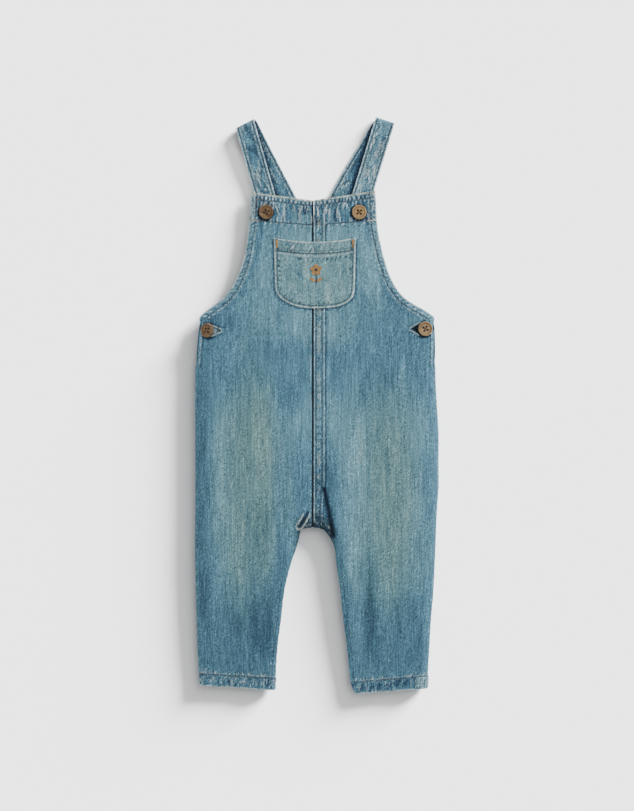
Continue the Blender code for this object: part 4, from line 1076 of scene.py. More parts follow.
def shell(name, outer, inner, wear, outward_up=True, under=None):
    """A closed cloth shell between two grids of points, with its wear on the outer one. under is the inner
    one's own wear, where that is a right side too."""
    count = outer[..., 0].size
    index = np.arange(count).reshape(outer.shape[:2])
    quads = np.stack([index[:-1, :-1], index[:-1, 1:], index[1:, 1:], index[1:, :-1]], axis=-1).reshape(-1, 4)
    across, down = outer[0, -1] - outer[0, 0], outer[-1, 0] - outer[0, 0]
    faces_up = np.cross(across, down)[2] > 0
    if faces_up != outward_up:
        quads = quads[:, ::-1]
    rim = np.concatenate([index[0], index[1:, -1], index[-1, -2::-1], index[-2:0:-1, 0]])
    ahead = np.roll(rim, -1)
    if faces_up == outward_up:
        sides = np.stack([ahead, rim, rim + count, ahead + count], axis=-1)
    else:
        sides = np.stack([rim, ahead, ahead + count, rim + count], axis=-1)
    faces = np.concatenate([quads, quads[:, ::-1] + count, sides]).tolist()
    masks = {}
    for key, limits in MASK_LIMITS.items():
        values = np.clip(getattr(wear, key), *limits).ravel()
        if under:
            below = np.clip(getattr(under, key), *limits).ravel()
        else:
            below = values * (1.0 if key in ("fade", "warm") else WEAR_INSIDE)
            below[rim] = values[rim]
        masks[key] = np.concatenate([values, below])
    masks["inside"] = np.zeros(2 * count)
    if not under:
        masks["inside"][count:] = 1.0
        masks["inside"][rim + count] = 0.0
    points = np.concatenate([outer.reshape(-1, 3), inner.reshape(-1, 3)])
    mesh = mesh_of(name, points, faces, masks)
    bm = bmesh.new()
    bm.from_mesh(mesh)
    if bm.calc_volume(signed=True) < 0:
        bmesh.ops.reverse_faces(bm, faces=bm.faces)
        bm.to_mesh(mesh)
    bm.free()
    mesh.set_sharp_from_angle(angle=math.radians(60))
    return linked(name, mesh)


def in_chunks(function, x, y, size=4000):
    """Calls a function of two flat arrays a piece at a time, to keep its distance tables small."""
    shape = x.shape
    x, y = x.ravel(), y.ravel()
    parts = zip(*(function(x[k : k + size], y[k : k + size]) for k in range(0, len(x), size)))
    return tuple(np.concatenate(p).reshape(shape + p[0].shape[1:]) for p in parts)


def fine_rows(rows, last, pitch, close_to, close=0.55, reach=4.5):
    """Section numbers of the mesh rows: pitch apart, and closer beside the rows in close_to."""
    samples = np.linspace(0, last, int(last) * 40 + 1)
    steps = np.maximum(np.abs(np.diff(rows["y_out"](samples))), np.abs(np.diff(rows["y_in"](samples))))
    down = np.concatenate([[0.0], np.cumsum(steps)])
    length = np.full(len(samples), pitch)
    for number in close_to:
        away = np.abs(down - np.interp(number, samples, down))
        length = np.minimum(length, np.where(away < reach, close, pitch))
    count = np.concatenate([[0.0], np.cumsum(steps / length[1:])])
    even = np.linspace(0, count[-1], int(count[-1]) + 1)
    return np.interp(even, count, samples)


def panel_plan(rows, n, outer_at, inner_at, middle):
    """Plan positions of a panel's grid: columns set in from each edge, and even ones between.
    Rows that start at the crotch curve up from it, so that they do not run along its edge."""
    ends = [stacked(rows["x_" + which](n), rows["y_" + which](n)) for which in ("out", "in")]
    run = ends[1] - ends[0]
    length = np.linalg.norm(run, axis=-1, keepdims=True)
    along = run / length
    near = ends[0][:, None] + along[:, None] * outer_at[..., None]
    far = ends[1][:, None] - along[:, None] * inner_at[..., None]
    share = np.linspace(0, 1, middle + 2)[1:-1]
    between = near[:, -1:] + (far[:, -1:] - near[:, -1:]) * share[:, None]
    plan = np.concatenate([near, between, far[:, ::-1]], axis=1)
    from_inner = np.linalg.norm(plan - ends[1][:, None], axis=-1)
    lift = np.interp(rows["y_in"](n), CROTCH_LIFT_Y, CROTCH_LIFT)[:, None]
    plan[..., 1] += lift * (1 - np.exp(-from_inner / CROTCH_LIFT_RUN)) * (1 - from_inner / length)
    return plan


def soft_edge(away, radius=0.6):
    """How far a cut or folded edge is rounded off at this distance from it."""
    t = np.clip(1 - away / radius, 0, 1)
    return radius * (1 - np.sqrt(1 - t * t))


# Mesh columns: round the turned outer edge, beside the centre seam and round the inner leg's edge.
OUTER_TURNS = 1 - np.cos(np.radians(np.linspace(0, 90, 15)))
FELL_COLUMNS = np.array(
    [0, 0.3, 0.7, 1.2, 1.8, 2.4, 3, 3.7, 4.5, 5.4, 6.3, 7.1, 7.8, 8.4, 9, 9.7, 10.3, 10.8, 11.2, 11.7, 12.5]
    + [13.8, 15.6, 18]
)
LEG_COLUMNS = INSEAM_FOLD * (1 - np.cos(np.radians(np.linspace(0, 90, len(FELL_COLUMNS)))))


def inner_columns(n, crotch):
    """How far the columns lie in from the inner edge: along the seam, and below the crotch round the leg."""
    in_leg = smooth(crotch - 1.0, crotch + 2.0, n)[:, None]
    return FELL_COLUMNS * (1 - in_leg) + LEG_COLUMNS * in_leg


def front_grid(side, pitch=1.5, middle=48):
    """Plan of one front's fine grid."""
    rows = FRONTS[side]
    n = fine_rows(rows, LAST_ROW, pitch, (0, STITCH_ROW, BAND_ROW, HEM_ROW, LAST_ROW))
    y_out = rows["y_out"](n)
    armhole = smooth(ARMHOLE_ROWS[1] + 2, ARMHOLE_ROWS[1], n)
    width = 8.0 * armhole + fold_at(y_out) * (1 - armhole)
    inset = rows["inset"](n)
    outer_at = inset[:, None] + (width - inset)[:, None] * OUTER_TURNS
    return panel_plan(rows, n, outer_at, inner_columns(n, CROTCH_ROW), middle)


def front_shell(side):
    """One front panel, from its side edge to the centre front and inner leg seams."""
    plan = front_grid(side)
    x, y = plan[..., 0], plan[..., 1]
    height, normal = in_chunks(front_face, x, y)
    wear = front_wear_on(side, x, y)
    face = stacked(x, y, height)
    rounded = soft_edge(np.minimum(below_row(side, 0, x, y), -below_row(side, LAST_ROW, x, y)))
    outer = face + normal * (wear.height - rounded)[..., None]
    inner = face - normal * (CLOTH - rounded)[..., None]
    return shell("front_" + side + "_cloth", outer, inner, wear)


def front_wear_on(side, x, y):
    return Wear.over(lambda a, b: front_wear(side, a, b), x, y)


def back_shell(side):
    """One back panel, flat on the surface, with its seamed edges turned up."""
    rows = back_rows(side)
    n = fine_rows(rows, LAST_BACK_ROW, 2.2, (0, LAST_BACK_ROW - 1, LAST_BACK_ROW), 0.8)
    narrow = 0.55 + 0.45 * smooth(0.0, 4.0, n)[:, None]
    outer_at = fold_at(rows["y_out"](n))[:, None] * OUTER_TURNS * narrow
    inner_at = inner_columns(n, CROTCH_ROW - BACK_JOINS_AT + len(BACK_TOP_ROWS)) * narrow
    plan = panel_plan(rows, n, outer_at, inner_at, 26)
    x, y = plan[..., 0], plan[..., 1]
    height, normal = in_chunks(back_face, x, y)
    wear = Wear.over(lambda a, b: back_wear(side, a, b), x, y)
    face = stacked(x, y, height)
    outer = face + normal * np.minimum(wear.height - FELL_RELIEF, 0.0)[..., None]
    outer[..., 2] = np.maximum(outer[..., 2], 0.0)
    return shell("back_" + side + "_cloth", outer, face - normal * (CLOTH + 0.2), wear, outward_up=False)


# ---- Materials ----


def fill(tree, node, inputs):
    """Links each input that is given as a socket, and sets any other."""
    for key, value in inputs.items():
        if isinstance(value, bpy.types.NodeSocket):
            tree.links.new(value, node.inputs[key])
        else:
            node.inputs[key].default_value = value


def add(tree, kind, inputs=None, **settings):
    """Adds a node."""
    made = tree.nodes.new(kind)
    for key, value in settings.items():
        setattr(made, key, value)
    fill(tree, made, inputs or {})
    return made


def put(tree, kind, inputs=None, **settings):
    """The first output of an added node."""
    return add(tree, kind, inputs, **settings).outputs[0]


def maths(tree, operation, a, b=0.0):
    return put(tree, "ShaderNodeMath", {0: a, 1: b}, operation=operation)


def times(tree, a, b):
    return maths(tree, "MULTIPLY", a, b)


def plus(tree, a, b):
    return maths(tree, "ADD", a, b)


def mixed(tree, share, a, b, blend="MIX"):
    """Mixes two colours."""
    return add(tree, "ShaderNodeMix", {0: share, 6: a, 7: b}, data_type="RGBA", blend_type=blend).outputs[2]


def between(tree, value, low, high):
    """A value's place between two limits, from 0 to 1."""
    return put(tree, "ShaderNodeMapRange", {"Value": value, "From Min": low, "From Max": high})


def object_place(tree):
    return add(tree, "ShaderNodeTexCoord").outputs["Object"]


def streaks(tree, place, scale, detail=2.0, roughness=0.55):
    """Noise over object coordinates stretched by scale, which is per metre along each axis."""
    stretched = put(tree, "ShaderNodeMapping", {"Vector": place, "Scale": scale})
    values = {"Vector": stretched, "Scale": 1.0, "Detail": detail, "Roughness": roughness}
    return add(tree, "ShaderNodeTexNoise", values).outputs["Fac"]


def centred(tree, place, scale, detail=2.0):
    """The same noise about 0, and 1 at its strongest."""
    return times(tree, maths(tree, "SUBTRACT", streaks(tree, place, scale, detail), 0.5), 4.0)


def new_tree(kind, name, inputs, outputs):
    """A node group with named sockets: its tree, its input sockets and its output ones. An input is given by
    its default value, or by its kind where it has none."""
    tree = bpy.data.node_groups.new(name, kind)
    kinds = {float: "Float", int: "Int", tuple: "Color"}
    for key, default in inputs.items():
        socket_type = "NodeSocket" + kinds.get(type(default), default)
        socket = tree.interface.new_socket(key, in_out="INPUT", socket_type=socket_type)
        if type(default) in kinds:
            socket.default_value = default
    for key, value_kind in outputs.items():
        tree.interface.new_socket(key, in_out="OUTPUT", socket_type="NodeSocket" + value_kind)
    return tree, tree.nodes.new("NodeGroupInput").outputs, tree.nodes.new("NodeGroupOutput").inputs


def made_once(collection):
    """Lets a function of a name make that material or node group only where there is none yet."""

    def wrap(make):
        return lambda name, *rest: getattr(bpy.data, collection).get(name) or make(name, *rest)

    return wrap


TWILL_LEAN = math.radians(-62)
# Width in yarns, length in metres, and strength.
YARNS = ((1.0, 0.024, 0.80), (2.1, 0.050, 0.36), (6.0, 0.080, 0.27))


@made_once("node_groups")
def weave_group(name):
    """Twill weave. Height is its relief; Slubs are streaks of thick and thin warp yarns, and Grain the broken
    diagonal ribs, each about 0 on average and 1 at its strongest."""
    outputs = dict.fromkeys(("Height", "Slubs", "Grain"), "Float")
    group, given, out = new_tree("ShaderNodeTree", name, {"Rib Pitch": 0.0009, "Yarn Width": 0.0011}, outputs)
    place = object_place(group)
    turned = put(group, "ShaderNodeMapping", {"Vector": place, "Rotation": (0.0, 0.0, TWILL_LEAN)})
    ribs = add(group, "ShaderNodeSeparateXYZ", {0: turned}).outputs[1]
    wobble = times(group, centred(group, place, (420, 260, 420)), 2.2)
    turns = times(group, maths(group, "DIVIDE", ribs, given["Rib Pitch"]), 2 * math.pi)
    rib = maths(group, "SINE", plus(group, turns, wobble))
    speckle = centred(group, place, (1100, 1000, 1100), 0.0)
    broken = centred(group, turned, (360, 1000, 700), 0.0)
    grain = plus(group, times(group, broken, 0.45), times(group, speckle, 0.85))
    group.links.new(grain, out["Grain"])
    height = plus(group, times(group, rib, 0.5), times(group, grain, 0.6))
    group.links.new(height, out["Height"])
    across = maths(group, "DIVIDE", 1.0, given["Yarn Width"])
    slubs = None
    for width, length, share in YARNS:
        scale_x = maths(group, "DIVIDE", across, width)
        scale = put(group, "ShaderNodeCombineXYZ", {0: scale_x, 1: 1 / length, 2: scale_x})
        stretched = put(group, "ShaderNodeVectorMath", {0: place, 1: scale}, operation="MULTIPLY")
        part = times(group, centred(group, stretched, (1, 1, 1), 1.0), share)
        slubs = part if slubs is None else plus(group, slubs, part)
    group.links.new(slubs, out["Slubs"])
    return group


WASH_COLOURS = {
    "Trough": "trough", "Dark": "dark", "Middle": "middle", "Pale": "pale", "Bleached": "bleached",
    "Warm Tint": "warm", "Cream": "cream", "Wrong Side": "inside",
}


# Wash levels that each step in colour runs between, up from the unworn trough.
WASH_STEPS = ((-2.0, -1.0, "Dark"), (-1.0, 0.0, "Middle"), (0.0, 1.0, "Pale"), (1.0, 2.2, "Bleached"))
SHADE = (0.006, 0.012, 0.016, 1.0)  # under edges, where hardly any light comes


@made_once("node_groups")
def wash_group(name):
    """Colour of washed denim from the wash level and the wear masks; the deep mask carries painted shade as
    well as unworn dark, and turns near black above 1.
    """
    cloth = chosen("cloth")
    inputs = {socket: tuple(getattr(cloth, key)) for socket, key in WASH_COLOURS.items()}
    inputs |= dict.fromkeys(("Fade", "Warm", "Rub", "Deep", "Inside", "Slubs", "Grain"), 0.0)
    inputs |= dict.fromkeys(("Slub Contrast", "Grain Contrast"), 0.5)
    group, given, out = new_tree("ShaderNodeTree", name, inputs, {"Color": "Color"})
    place = object_place(group)
    slub = times(group, given["Slubs"], given["Slub Contrast"])
    grain = times(group, given["Grain"], given["Grain Contrast"])
    cloud = times(group, centred(group, place, (60, 14, 60), 3.0), 0.22)
    level = plus(group, given["Fade"], cloud)
    base = given["Trough"]
    for low, high, tone in WASH_STEPS:
        base = mixed(group, between(group, level, low, high), base, given[tone])
    # kept: unworn dark and painted shade, both mixed towards the trough colour.
    kept = maths(group, "SUBTRACT", given["Deep"], times(group, grain, 0.10))
    base = mixed(group, between(group, kept, 0.05, 0.95), base, given["Trough"])
    rubbed = plus(group, given["Rub"], times(group, grain, 0.10))
    base = mixed(group, between(group, rubbed, 0.15, 1.0), base, given["Cream"])
    straw = times(group, given["Warm"], plus(group, times(group, slub, 0.45), 1.0))
    base = mixed(group, straw, base, mixed(group, 1.0, base, given["Warm Tint"], "MULTIPLY"))
    base = mixed(group, times(group, given["Inside"], 0.85), base, given["Wrong Side"])
    base = mixed(group, between(group, given["Deep"], 1.0, 1.6), base, SHADE)
    yarns = maths(group, "POWER", 1.42, plus(group, slub, grain))
    base = put(group, "ShaderNodeVectorMath", {0: base, "Scale": yarns}, operation="SCALE")
    group.links.new(base, out["Color"])
    return group


def mask(tree, name):
    return add(tree, "ShaderNodeAttribute", attribute_name=name, attribute_type="GEOMETRY").outputs["Fac"]


def new_material(name, roughness=0.9):
    material = bpy.data.materials.new(name)
    material.use_nodes = True
    shader = material.node_tree.nodes["Principled BSDF"]
    shader.inputs["Roughness"].default_value = roughness
    return material, material.node_tree, shader


def relief(tree, shader, height, strength, distance):
    """Raises the surface's finest detail, this far in metres."""
    made = put(tree, "ShaderNodeBump", {"Height": height, "Strength": strength, "Distance": distance})
    tree.links.new(made, shader.inputs["Normal"])


@made_once("materials")
def denim(name):
    """The washed denim of every cloth piece."""
    cloth = chosen("cloth")
    material, tree, shader = new_material(name, 0.92)
    masks = {key.title(): mask(tree, key) for key in (*MASK_LIMITS, "inside")}
    masks |= {"Slub Contrast": cloth.slub_contrast, "Grain Contrast": cloth.grain_contrast}
    weave, wash = (tree.nodes.new("ShaderNodeGroup") for _ in range(2))
    weave.node_tree, wash.node_tree = weave_group("Denim weave"), wash_group("Denim wash")
    masks |= {key: weave.outputs[key] for key in ("Slubs", "Grain")}
    fill(tree, weave, {"Rib Pitch": cloth.rib_pitch, "Yarn Width": cloth.yarn_width})
    fill(tree, wash, masks)
    tree.links.new(wash.outputs["Color"], shader.inputs["Base Color"])
    relief(tree, shader, weave.outputs["Height"], 0.5, 0.0002)
    shader.inputs["Specular IOR Level"].default_value = 0.15
    return material


@made_once("materials")
def thread_material(name, colour):
    """Twisted sewing thread, a little lighter or darker from one stitch to the next."""
    material, tree, shader = new_material(name, 0.7)
    fuzz = streaks(tree, object_place(tree), (2600, 2600, 2600), 2.0)
    value = plus(tree, times(tree, mask(tree, "shade"), 0.9), times(tree, fuzz, 0.5))
    dark = tuple(c * 0.3 for c in colour[:3]) + (1.0,)
    light = tuple(min(1.0, c * 1.5 + 0.03) for c in colour[:3]) + (1.0,)
    tree.links.new(mixed(tree, between(tree, value, 0.15, 1.2), dark, light), shader.inputs["Base Color"])
    relief(tree, shader, fuzz, 0.5, 0.0001)
    shader.inputs["Sheen Weight"].default_value = 0.2
    return material


# ---- Stitches and threads ----


def run_tree(name, mesh, tree, values):
    """Runs a geometry node tree over a mesh and gives the result as a plain object."""
    source = linked(name + "_path", mesh)
    modifier = source.modifiers.new("sewing", "NODES")
    modifier.node_group = tree
    for item in tree.interface.items_tree:
        if item.item_type == "SOCKET" and item.in_out == "INPUT" and item.name in values:
            modifier[item.identifier] = values[item.name]
    evaluated = source.evaluated_get(bpy.context.evaluated_depsgraph_get())
    result = bpy.data.meshes.new_from_object(evaluated)
    result.name = name
    bpy.data.objects.remove(source)
    bpy.data.meshes.remove(mesh)
    return linked(name, result)


def thread_group(name, inputs):
    """A geometry node tree with these named inputs, a seed and a material; and its lines, as a curve."""
    inputs = {"Geometry": "Geometry", **inputs, "Seed": 1, "Material": "Material"}
    tree, given, out = new_tree("GeometryNodeTree", name, inputs, {"Geometry": "Geometry"})
    return tree, given, out, put(tree, "GeometryNodeMeshToCurve", {"Mesh": given["Geometry"]})


def drawn(tree, given, low, high):
    """Random vectors between these."""
    values = {"Seed": given["Seed"], 0: low, 1: high}
    return put(tree, "FunctionNodeRandomValue", values, data_type="FLOAT_VECTOR")


def shaded(tree, given, geometry, domain):
    """Gives each thread its own random "shade"."""
    shade = add(tree, "FunctionNodeRandomValue", {"Seed": given["Seed"]}, data_type="FLOAT").outputs[1]
    values = {"Geometry": geometry, "Name": "shade", "Value": shade}
    return put(tree, "GeometryNodeStoreNamedAttribute", values, data_type="FLOAT", domain=domain)


def made_real(tree, given, out, geometry):
    """Ends a tree: the finished threads, with their material."""
    real = put(tree, "GeometryNodeRealizeInstances", {"Geometry": geometry})
    smoothed = put(tree, "GeometryNodeSetShadeSmooth", {"Geometry": real})
    final = put(tree, "GeometryNodeSetMaterial", {"Geometry": smoothed, "Material": given["Material"]})
    tree.links.new(final, out["Geometry"])
    return tree


@made_once("node_groups")
def stitch_tree(name):
    """Rounded stitches set end to end along each line, laid on the cloth that the "up" attribute faces."""
    sizes = {"Stitch": 0.00215, "Pitch": 0.003, "Thread Radius": 0.00027}
    tree, given, out, line = thread_group(name, sizes)
    spaced = put(tree, "GeometryNodeResampleCurve", {"Curve": line, "Length": given["Pitch"]}, mode="LENGTH")
    up = put(tree, "GeometryNodeInputNamedAttribute", {"Name": "up"}, data_type="FLOAT_VECTOR")
    tangent = put(tree, "GeometryNodeInputTangent")
    wander = drawn(tree, given, (-0.09, -0.09, 0.0), (0.09, 0.09, 0.0))
    heading = put(tree, "ShaderNodeVectorMath", {0: tangent, 1: wander}, operation="ADD")
    turned = put(tree, "FunctionNodeAlignRotationToVector", {"Vector": heading}, axis="X")
    upright = {"Rotation": turned, "Vector": up}
    turned = put(tree, "FunctionNodeAlignRotationToVector", upright, axis="Z", pivot_axis="X")
    bead = put(tree, "GeometryNodeMeshUVSphere", {"Segments": 8, "Rings": 5, "Radius": 1.0})
    radius, half = given["Thread Radius"], times(tree, given["Stitch"], 0.5)
    size = put(tree, "ShaderNodeCombineXYZ", {0: radius, 1: radius, 2: half})
    bead = put(tree, "GeometryNodeTransform", {"Geometry": bead, "Scale": size})
    lay_down = (0.0, math.pi / 2, 0.0)
    bead = put(tree, "GeometryNodeTransform", {"Geometry": bead, "Rotation": lay_down})
    stretch = drawn(tree, given, (0.85, 0.85, 0.8), (1.08, 1.15, 1.1))
    values = {"Points": spaced, "Instance": bead, "Rotation": turned, "Scale": stretch}
    placed = put(tree, "GeometryNodeInstanceOnPoints", values)
    return made_real(tree, given, out, shaded(tree, given, placed, "INSTANCE"))


@made_once("node_groups")
def thread_tree(name):
    """A round thread along each line."""
    tree, given, out, line = thread_group(name, {"Thread Radius": 0.00022})
    ring = put(tree, "GeometryNodeCurvePrimitiveCircle", {"Resolution": 6, "Radius": given["Thread Radius"]})
    values = {"Curve": shaded(tree, given, line, "CURVE"), "Profile Curve": ring, "Fill Caps": True}
    return made_real(tree, given, out, put(tree, "GeometryNodeCurveToMesh", values))


def path_mesh(name, lines):
    """Separate lines of (points, up vectors), in millimetres, as one mesh of edges."""
    points, ups, edges, start = [], [], [], 0
    for place, up in lines:
        points += (np.asarray(place) * MM).tolist()
        ups += np.broadcast_to(up, np.shape(place)).tolist()
        edges += [(start + k, start + k + 1) for k in range(len(place) - 1)]
        start += len(place)
    mesh = bpy.data.meshes.new(name)
    mesh.from_pydata(points, edges, [])
    layer = mesh.attributes.new("up", "FLOAT_VECTOR", "POINT")
    layer.data.foreach_set("vector", np.array(ups, np.float32).ravel())
    return mesh


def threaded(name, lines, colour, tree, values):
    """One piece of thread work along lines."""
    material = thread_material(colour + "_thread", getattr(chosen("sewing"), colour))
    return finished(run_tree(name, path_mesh(name, lines), tree, {**values, "Material": material}), material)


def sew(name, lines, colour, seed):
    """Rows of stitches along lines, as one piece."""
    sewing = chosen("sewing")
    values = {"Stitch": sewing.stitch, "Pitch": sewing.pitch, "Thread Radius": sewing.thread, "Seed": seed}
    return threaded(name, lines, colour, stitch_tree("Stitch rows"), values)


def lay_threads(name, lines, colour, radius, seed):
    """Single threads along lines, as one piece."""
    values = {"Thread Radius": radius * MM, "Seed": seed}
    return threaded(name, lines, colour, thread_tree("Threads"), values)


def on_front(side, plan, lift=STITCH_LIFT):
    """Points of a plan line on one front's finished surface, and the cloth's normals there."""
    x, y = plan[:, 0], plan[:, 1]
    height, normal = in_chunks(front_face, x, y)
    raised = front_wear_on(side, x, y).height + lift
    return np.column_stack([plan, height]) + normal * raised[:, None], normal


def line_between(a, b, pitch=1.0):
    a, b = np.array(a, float), np.array(b, float)
    count = max(2, int(np.linalg.norm(b - a) / pitch) + 1)
    return a + (b - a) * np.linspace(0, 1, count)[:, None]


def offset_line(line, distance):
    """A line moved towards the cloth, which lies to the right of its run."""
    along = unit(np.gradient(line, axis=0))
    return line + stacked(along[:, 1], -along[:, 0]) * distance


# ---- Pocket ----


def pocket_top(u):
    return POCKET_TOP - POCKET_TOP_DIP * (1 - u * u)


def pocket_top_line(x):
    return pocket_top(np.clip((x - POCKET_X) / (POCKET_WIDTH / 2), -1, 1))


def pocket_plan(u, v):
    """Plan position of the patch pocket at u across, from -1 to 1, and v down, from 0 to 1."""
    x = POCKET_X + u * POCKET_WIDTH / 2 * (1 - POCKET_TAPER * v)
    top = pocket_top(u)
    start, deep = POCKET_CORNER
    power = np.where(u < 0, *POCKET_CURVE)
    bottom = start - deep * (1 - np.abs(u) ** power) ** (1 / power)
    return x, top + (bottom - top) * v


def pocket_rim(count=220):
    """The pocket's outline from its top right corner, down and round to its top left corner."""
    turn = np.linspace(-np.pi / 2, np.pi / 2, count - 120)
    u = np.concatenate([np.full(60, -1.0), np.sin(turn), np.full(60, 1.0)])
    v = np.concatenate([np.linspace(0, 1, 60), np.ones(count - 120), np.linspace(1, 0, 60)])
    line = stacked(*pocket_plan(u, v))
    keep = np.concatenate([[True], np.linalg.norm(np.diff(line, axis=0), axis=-1) > 0.05])
    return line[keep][::-1]


POCKET_RIM = pocket_rim()


def pocket_wear(x, y):
    """The pocket: a rubbed rim, puckers beside its stitches and a turned band with soft slanting creases."""
    w = Wear(x)
    edge, _, along = nearest_on(POCKET_RIM, x, y)
    top = pocket_top_line(x) - y
    band = top - POCKET_BAND
    on_band = smooth(0.3, -0.4, band)
    w.fade += 0.88 + 0.25 * noise2(x / 3.0, y / 15, 91) + 0.25 * noise2(x / 11, y / 12, 92)
    w.warm += 0.5
    w.height += 0.18 * noise2(x / 12, y / 16, 91) + BAND_RELIEF * on_band
    near = on_band * smooth(2.0, 4.0, edge)
    w.strewn("pocket band", near, x + 0.7 * band, band, POCKET_BAND_REACH, 93)
    w.fade -= 0.9 * on_band * bump(x, -27.0, 11.0)
    w.creased(x, y, POCKET_CREASES)
    crimps = 0.6 * ripple(along + 0.5 * edge, 5.0, 95) + 0.7 * noise2(along / 2.4, edge / 4.0, 96)
    near = smooth(POCKET_STITCH + 0.4, POCKET_STITCH + 1.2, edge) * smooth(9.0, 3.6, edge)
    w.puckered(near, crimps, 0.8, 0.35, 0.7)
    crimps = 0.6 * ripple(x + 0.4 * band, 4.6, 97) + 0.8 * noise2(x / 2.2, band / 5.0, 98)
    w.puckered(smooth(3.0, 5.0, band) * smooth(11.0, 6.0, band), crimps, 0.6, 0.2, 0.8)
    w.rubbed(0.6 * bump(band, 2.4, 0.8) * (0.75 + 0.25 * noise1(x / 3.0, 99)))
    w.edged(edge, along, 1.3, 100, 1.0)
    w.edged(top, x, 1.3, 102, 1.0)
    w.stitched(edge - POCKET_STITCH)
    w.stitched(band, smooth(2.0, 3.0, edge))
    w.stitched(band + POCKET_BAND_ROWS, smooth(2.0, 3.0, edge), 0.6, 0.55)
    return w


def pocket_height(x, y):
    """Height of the pocket's underside, over both fronts and the felled seam."""
    height, normal = in_chunks(front_face, x, y)
    over_fell = smooth(*POCKET_OVER_FELL[0], x) * smooth(*POCKET_OVER_FELL[1], x)
    return height + GAP + FELL_RELIEF * over_fell, normal


def on_pocket(plan, lift=STITCH_LIFT):
    """Points of a plan line on the pocket's finished surface, and the normals there."""
    x, y = plan[:, 0], plan[:, 1]
    height, normal = pocket_height(x, y)
    raised = CLOTH + Wear.over(pocket_wear, x, y).height + lift
    return np.column_stack([plan, height]) + normal * raised[:, None], normal


# ---- Straps ----


def downward(side, degrees):
    """The unit direction this far from straight down, towards the garment's middle."""
    angle = math.radians(degrees)
    return np.array([-SIDES[side] * math.sin(angle), -math.cos(angle)])


def strap_path(side):
    """The strap's path from its front end over the shoulder fold to its back end, as the solid has it:
    centres and half-width vectors of close cross lines."""
    s = dict(zip(STRAP_COLUMNS, STRAPS[side]))
    front, back = downward(side, s["front_angle"]), downward(side, s["back_angle"])
    outward = -downward(side, s["crease_angle"])
    crease = downward(side, s["crease_angle"] + 90.0)
    radius, bottom = STRAP_FOLD_RADIUS, STRAP_THICK / 2
    fold = np.array([s["fold_x"], s["fold_y"]]) - outward * (radius + bottom)
    end = np.array([s["end_x"], s["end_y"]])
    centres, halves = [], []

    def cross(place, height, direction, to_crease):
        square = np.array([-direction[1], direction[0]])
        if square @ crease < 0:
            square = -square
        across = unit(square * (1 - to_crease) + crease * to_crease)
        centres.append([*place, height])
        halves.append([*(across * STRAP_WIDTH / 2 / abs(across @ square)), 0.0])

    front_height = curve_through(*zip((0.0, bottom + 2 * radius), *FRONT_RUN))
    for share in np.linspace(1.0, 0.02, 84):
        place = fold + front * s["front_length"] * share
        cross(place, float(front_height(share)), front, float(smooth(0.15, 0.0, share)))
    for turn in np.linspace(0, math.pi, 14):
        place = fold + outward * radius * math.sin(turn) + crease * s["fold_step"] * turn / math.pi
        cross(place, bottom + radius + radius * math.cos(turn), front, 1.0)
    start = fold + crease * s["fold_step"]
    pull = start + back * float(np.linalg.norm(end - start)) * STRAP_PULL
    heights = curve_through(*zip(*BACK_RUN[side]))
    for share in np.linspace(0.012, 1.0, 130):
        place = start * (1 - share) ** 2 + pull * 2 * share * (1 - share) + end * share**2
        direction = unit((pull - start) * (1 - share) + (end - pull) * share)
        cross(place, float(heights(share)), direction, float(smooth(0.1, 0.0, share)))
    return np.array(centres), np.array(halves)


_half = np.array([0.15, 0.3, 0.44, 0.56, 0.64, 0.70, 0.74, 0.77, 0.80, 0.85, 0.90, 0.95, 0.985, 1])
STRAP_ACROSS = np.concatenate([-_half[::-1], [0], _half])  # mesh columns, as shares of the half width


def strap_frame(side):
    """Places, upward normals and distances along the path of the strap's cross lines."""
    centres, halves = strap_path(side)
    lengthwise = np.gradient(centres, axis=0)
    normal = unit(np.cross(lengthwise, halves))
    if normal[0, 2] < 0:
        normal = -normal
    run = np.concatenate([[0.0], np.cumsum(np.linalg.norm(np.diff(centres, axis=0), axis=-1))])
    return centres, halves, normal, run


def strap_wear(across, along, seed, hole=None):
    """A turned strap: rubbed folded edges, a stitch row inside each, and slanting creases between. hole is
    where a buttonhole ends: how far across, and along."""
    w = Wear(across)
    edge = STRAP_WIDTH / 2 - np.abs(across)
    field = smooth(3.0, 4.2, edge)
    w.fade += 0.10 + 0.45 * noise2(along / 15, across / 5, seed)
    patches = noise2(along / 8 + across / 10, across / 4.4, seed + 12)
    w.darkened(0.62 * smooth(0.05, 0.6, patches) * smooth(2.0, 3.4, edge))
    w.strewn("strap", field, across, along, (-9.0, 9.0, np.min(along), np.max(along)), seed + 1)
    crimps = ripple(along, 3.0, seed + 7) + 0.5 * noise1(along / 1.7, seed + 8)
    near = smooth(STRAP_STITCH + 0.2, STRAP_STITCH + 0.9, edge) * smooth(5.4, 3.8, edge)
    w.puckered(near, crimps, 0.4, 0.5, 0.6)
    w.edged(edge, along, 1.3, seed + 9, 1.0)
    w.rubbed(0.75 * bump(edge, STRAP_STITCH + 1.5, 0.7) * (0.7 + 0.3 * noise1(along / 5.0, seed + 10)))
    w.height += 0.16 * ripple(along, 5.0, seed + 11) * smooth(5.0, 1.0, edge)
    w.stitched(edge - STRAP_STITCH)
    if hole:
        away = np.hypot(across - hole[0], along - hole[1])
        w.unrubbed(1 - smooth(2.6, 4.0, np.abs(away - 1.0) + 1.0))
        w.rubbed(0.45 * smooth(2.0, 1.2, away))
        w.darkened(0.95 * bump(away, 3.0, 0.8))
    return w


# ---- Operators ----


def cloth_piece(made, node):
    """Finishes a piece of denim that stands for this node."""
    return finished(made, denim("washed_denim"), node)


def each_side(make, node):
    """Makes the right and the left one of a pair of denim pieces."""
    for side in SIDES:
        cloth_piece(make(side), node + side)
    return {"FINISHED"}


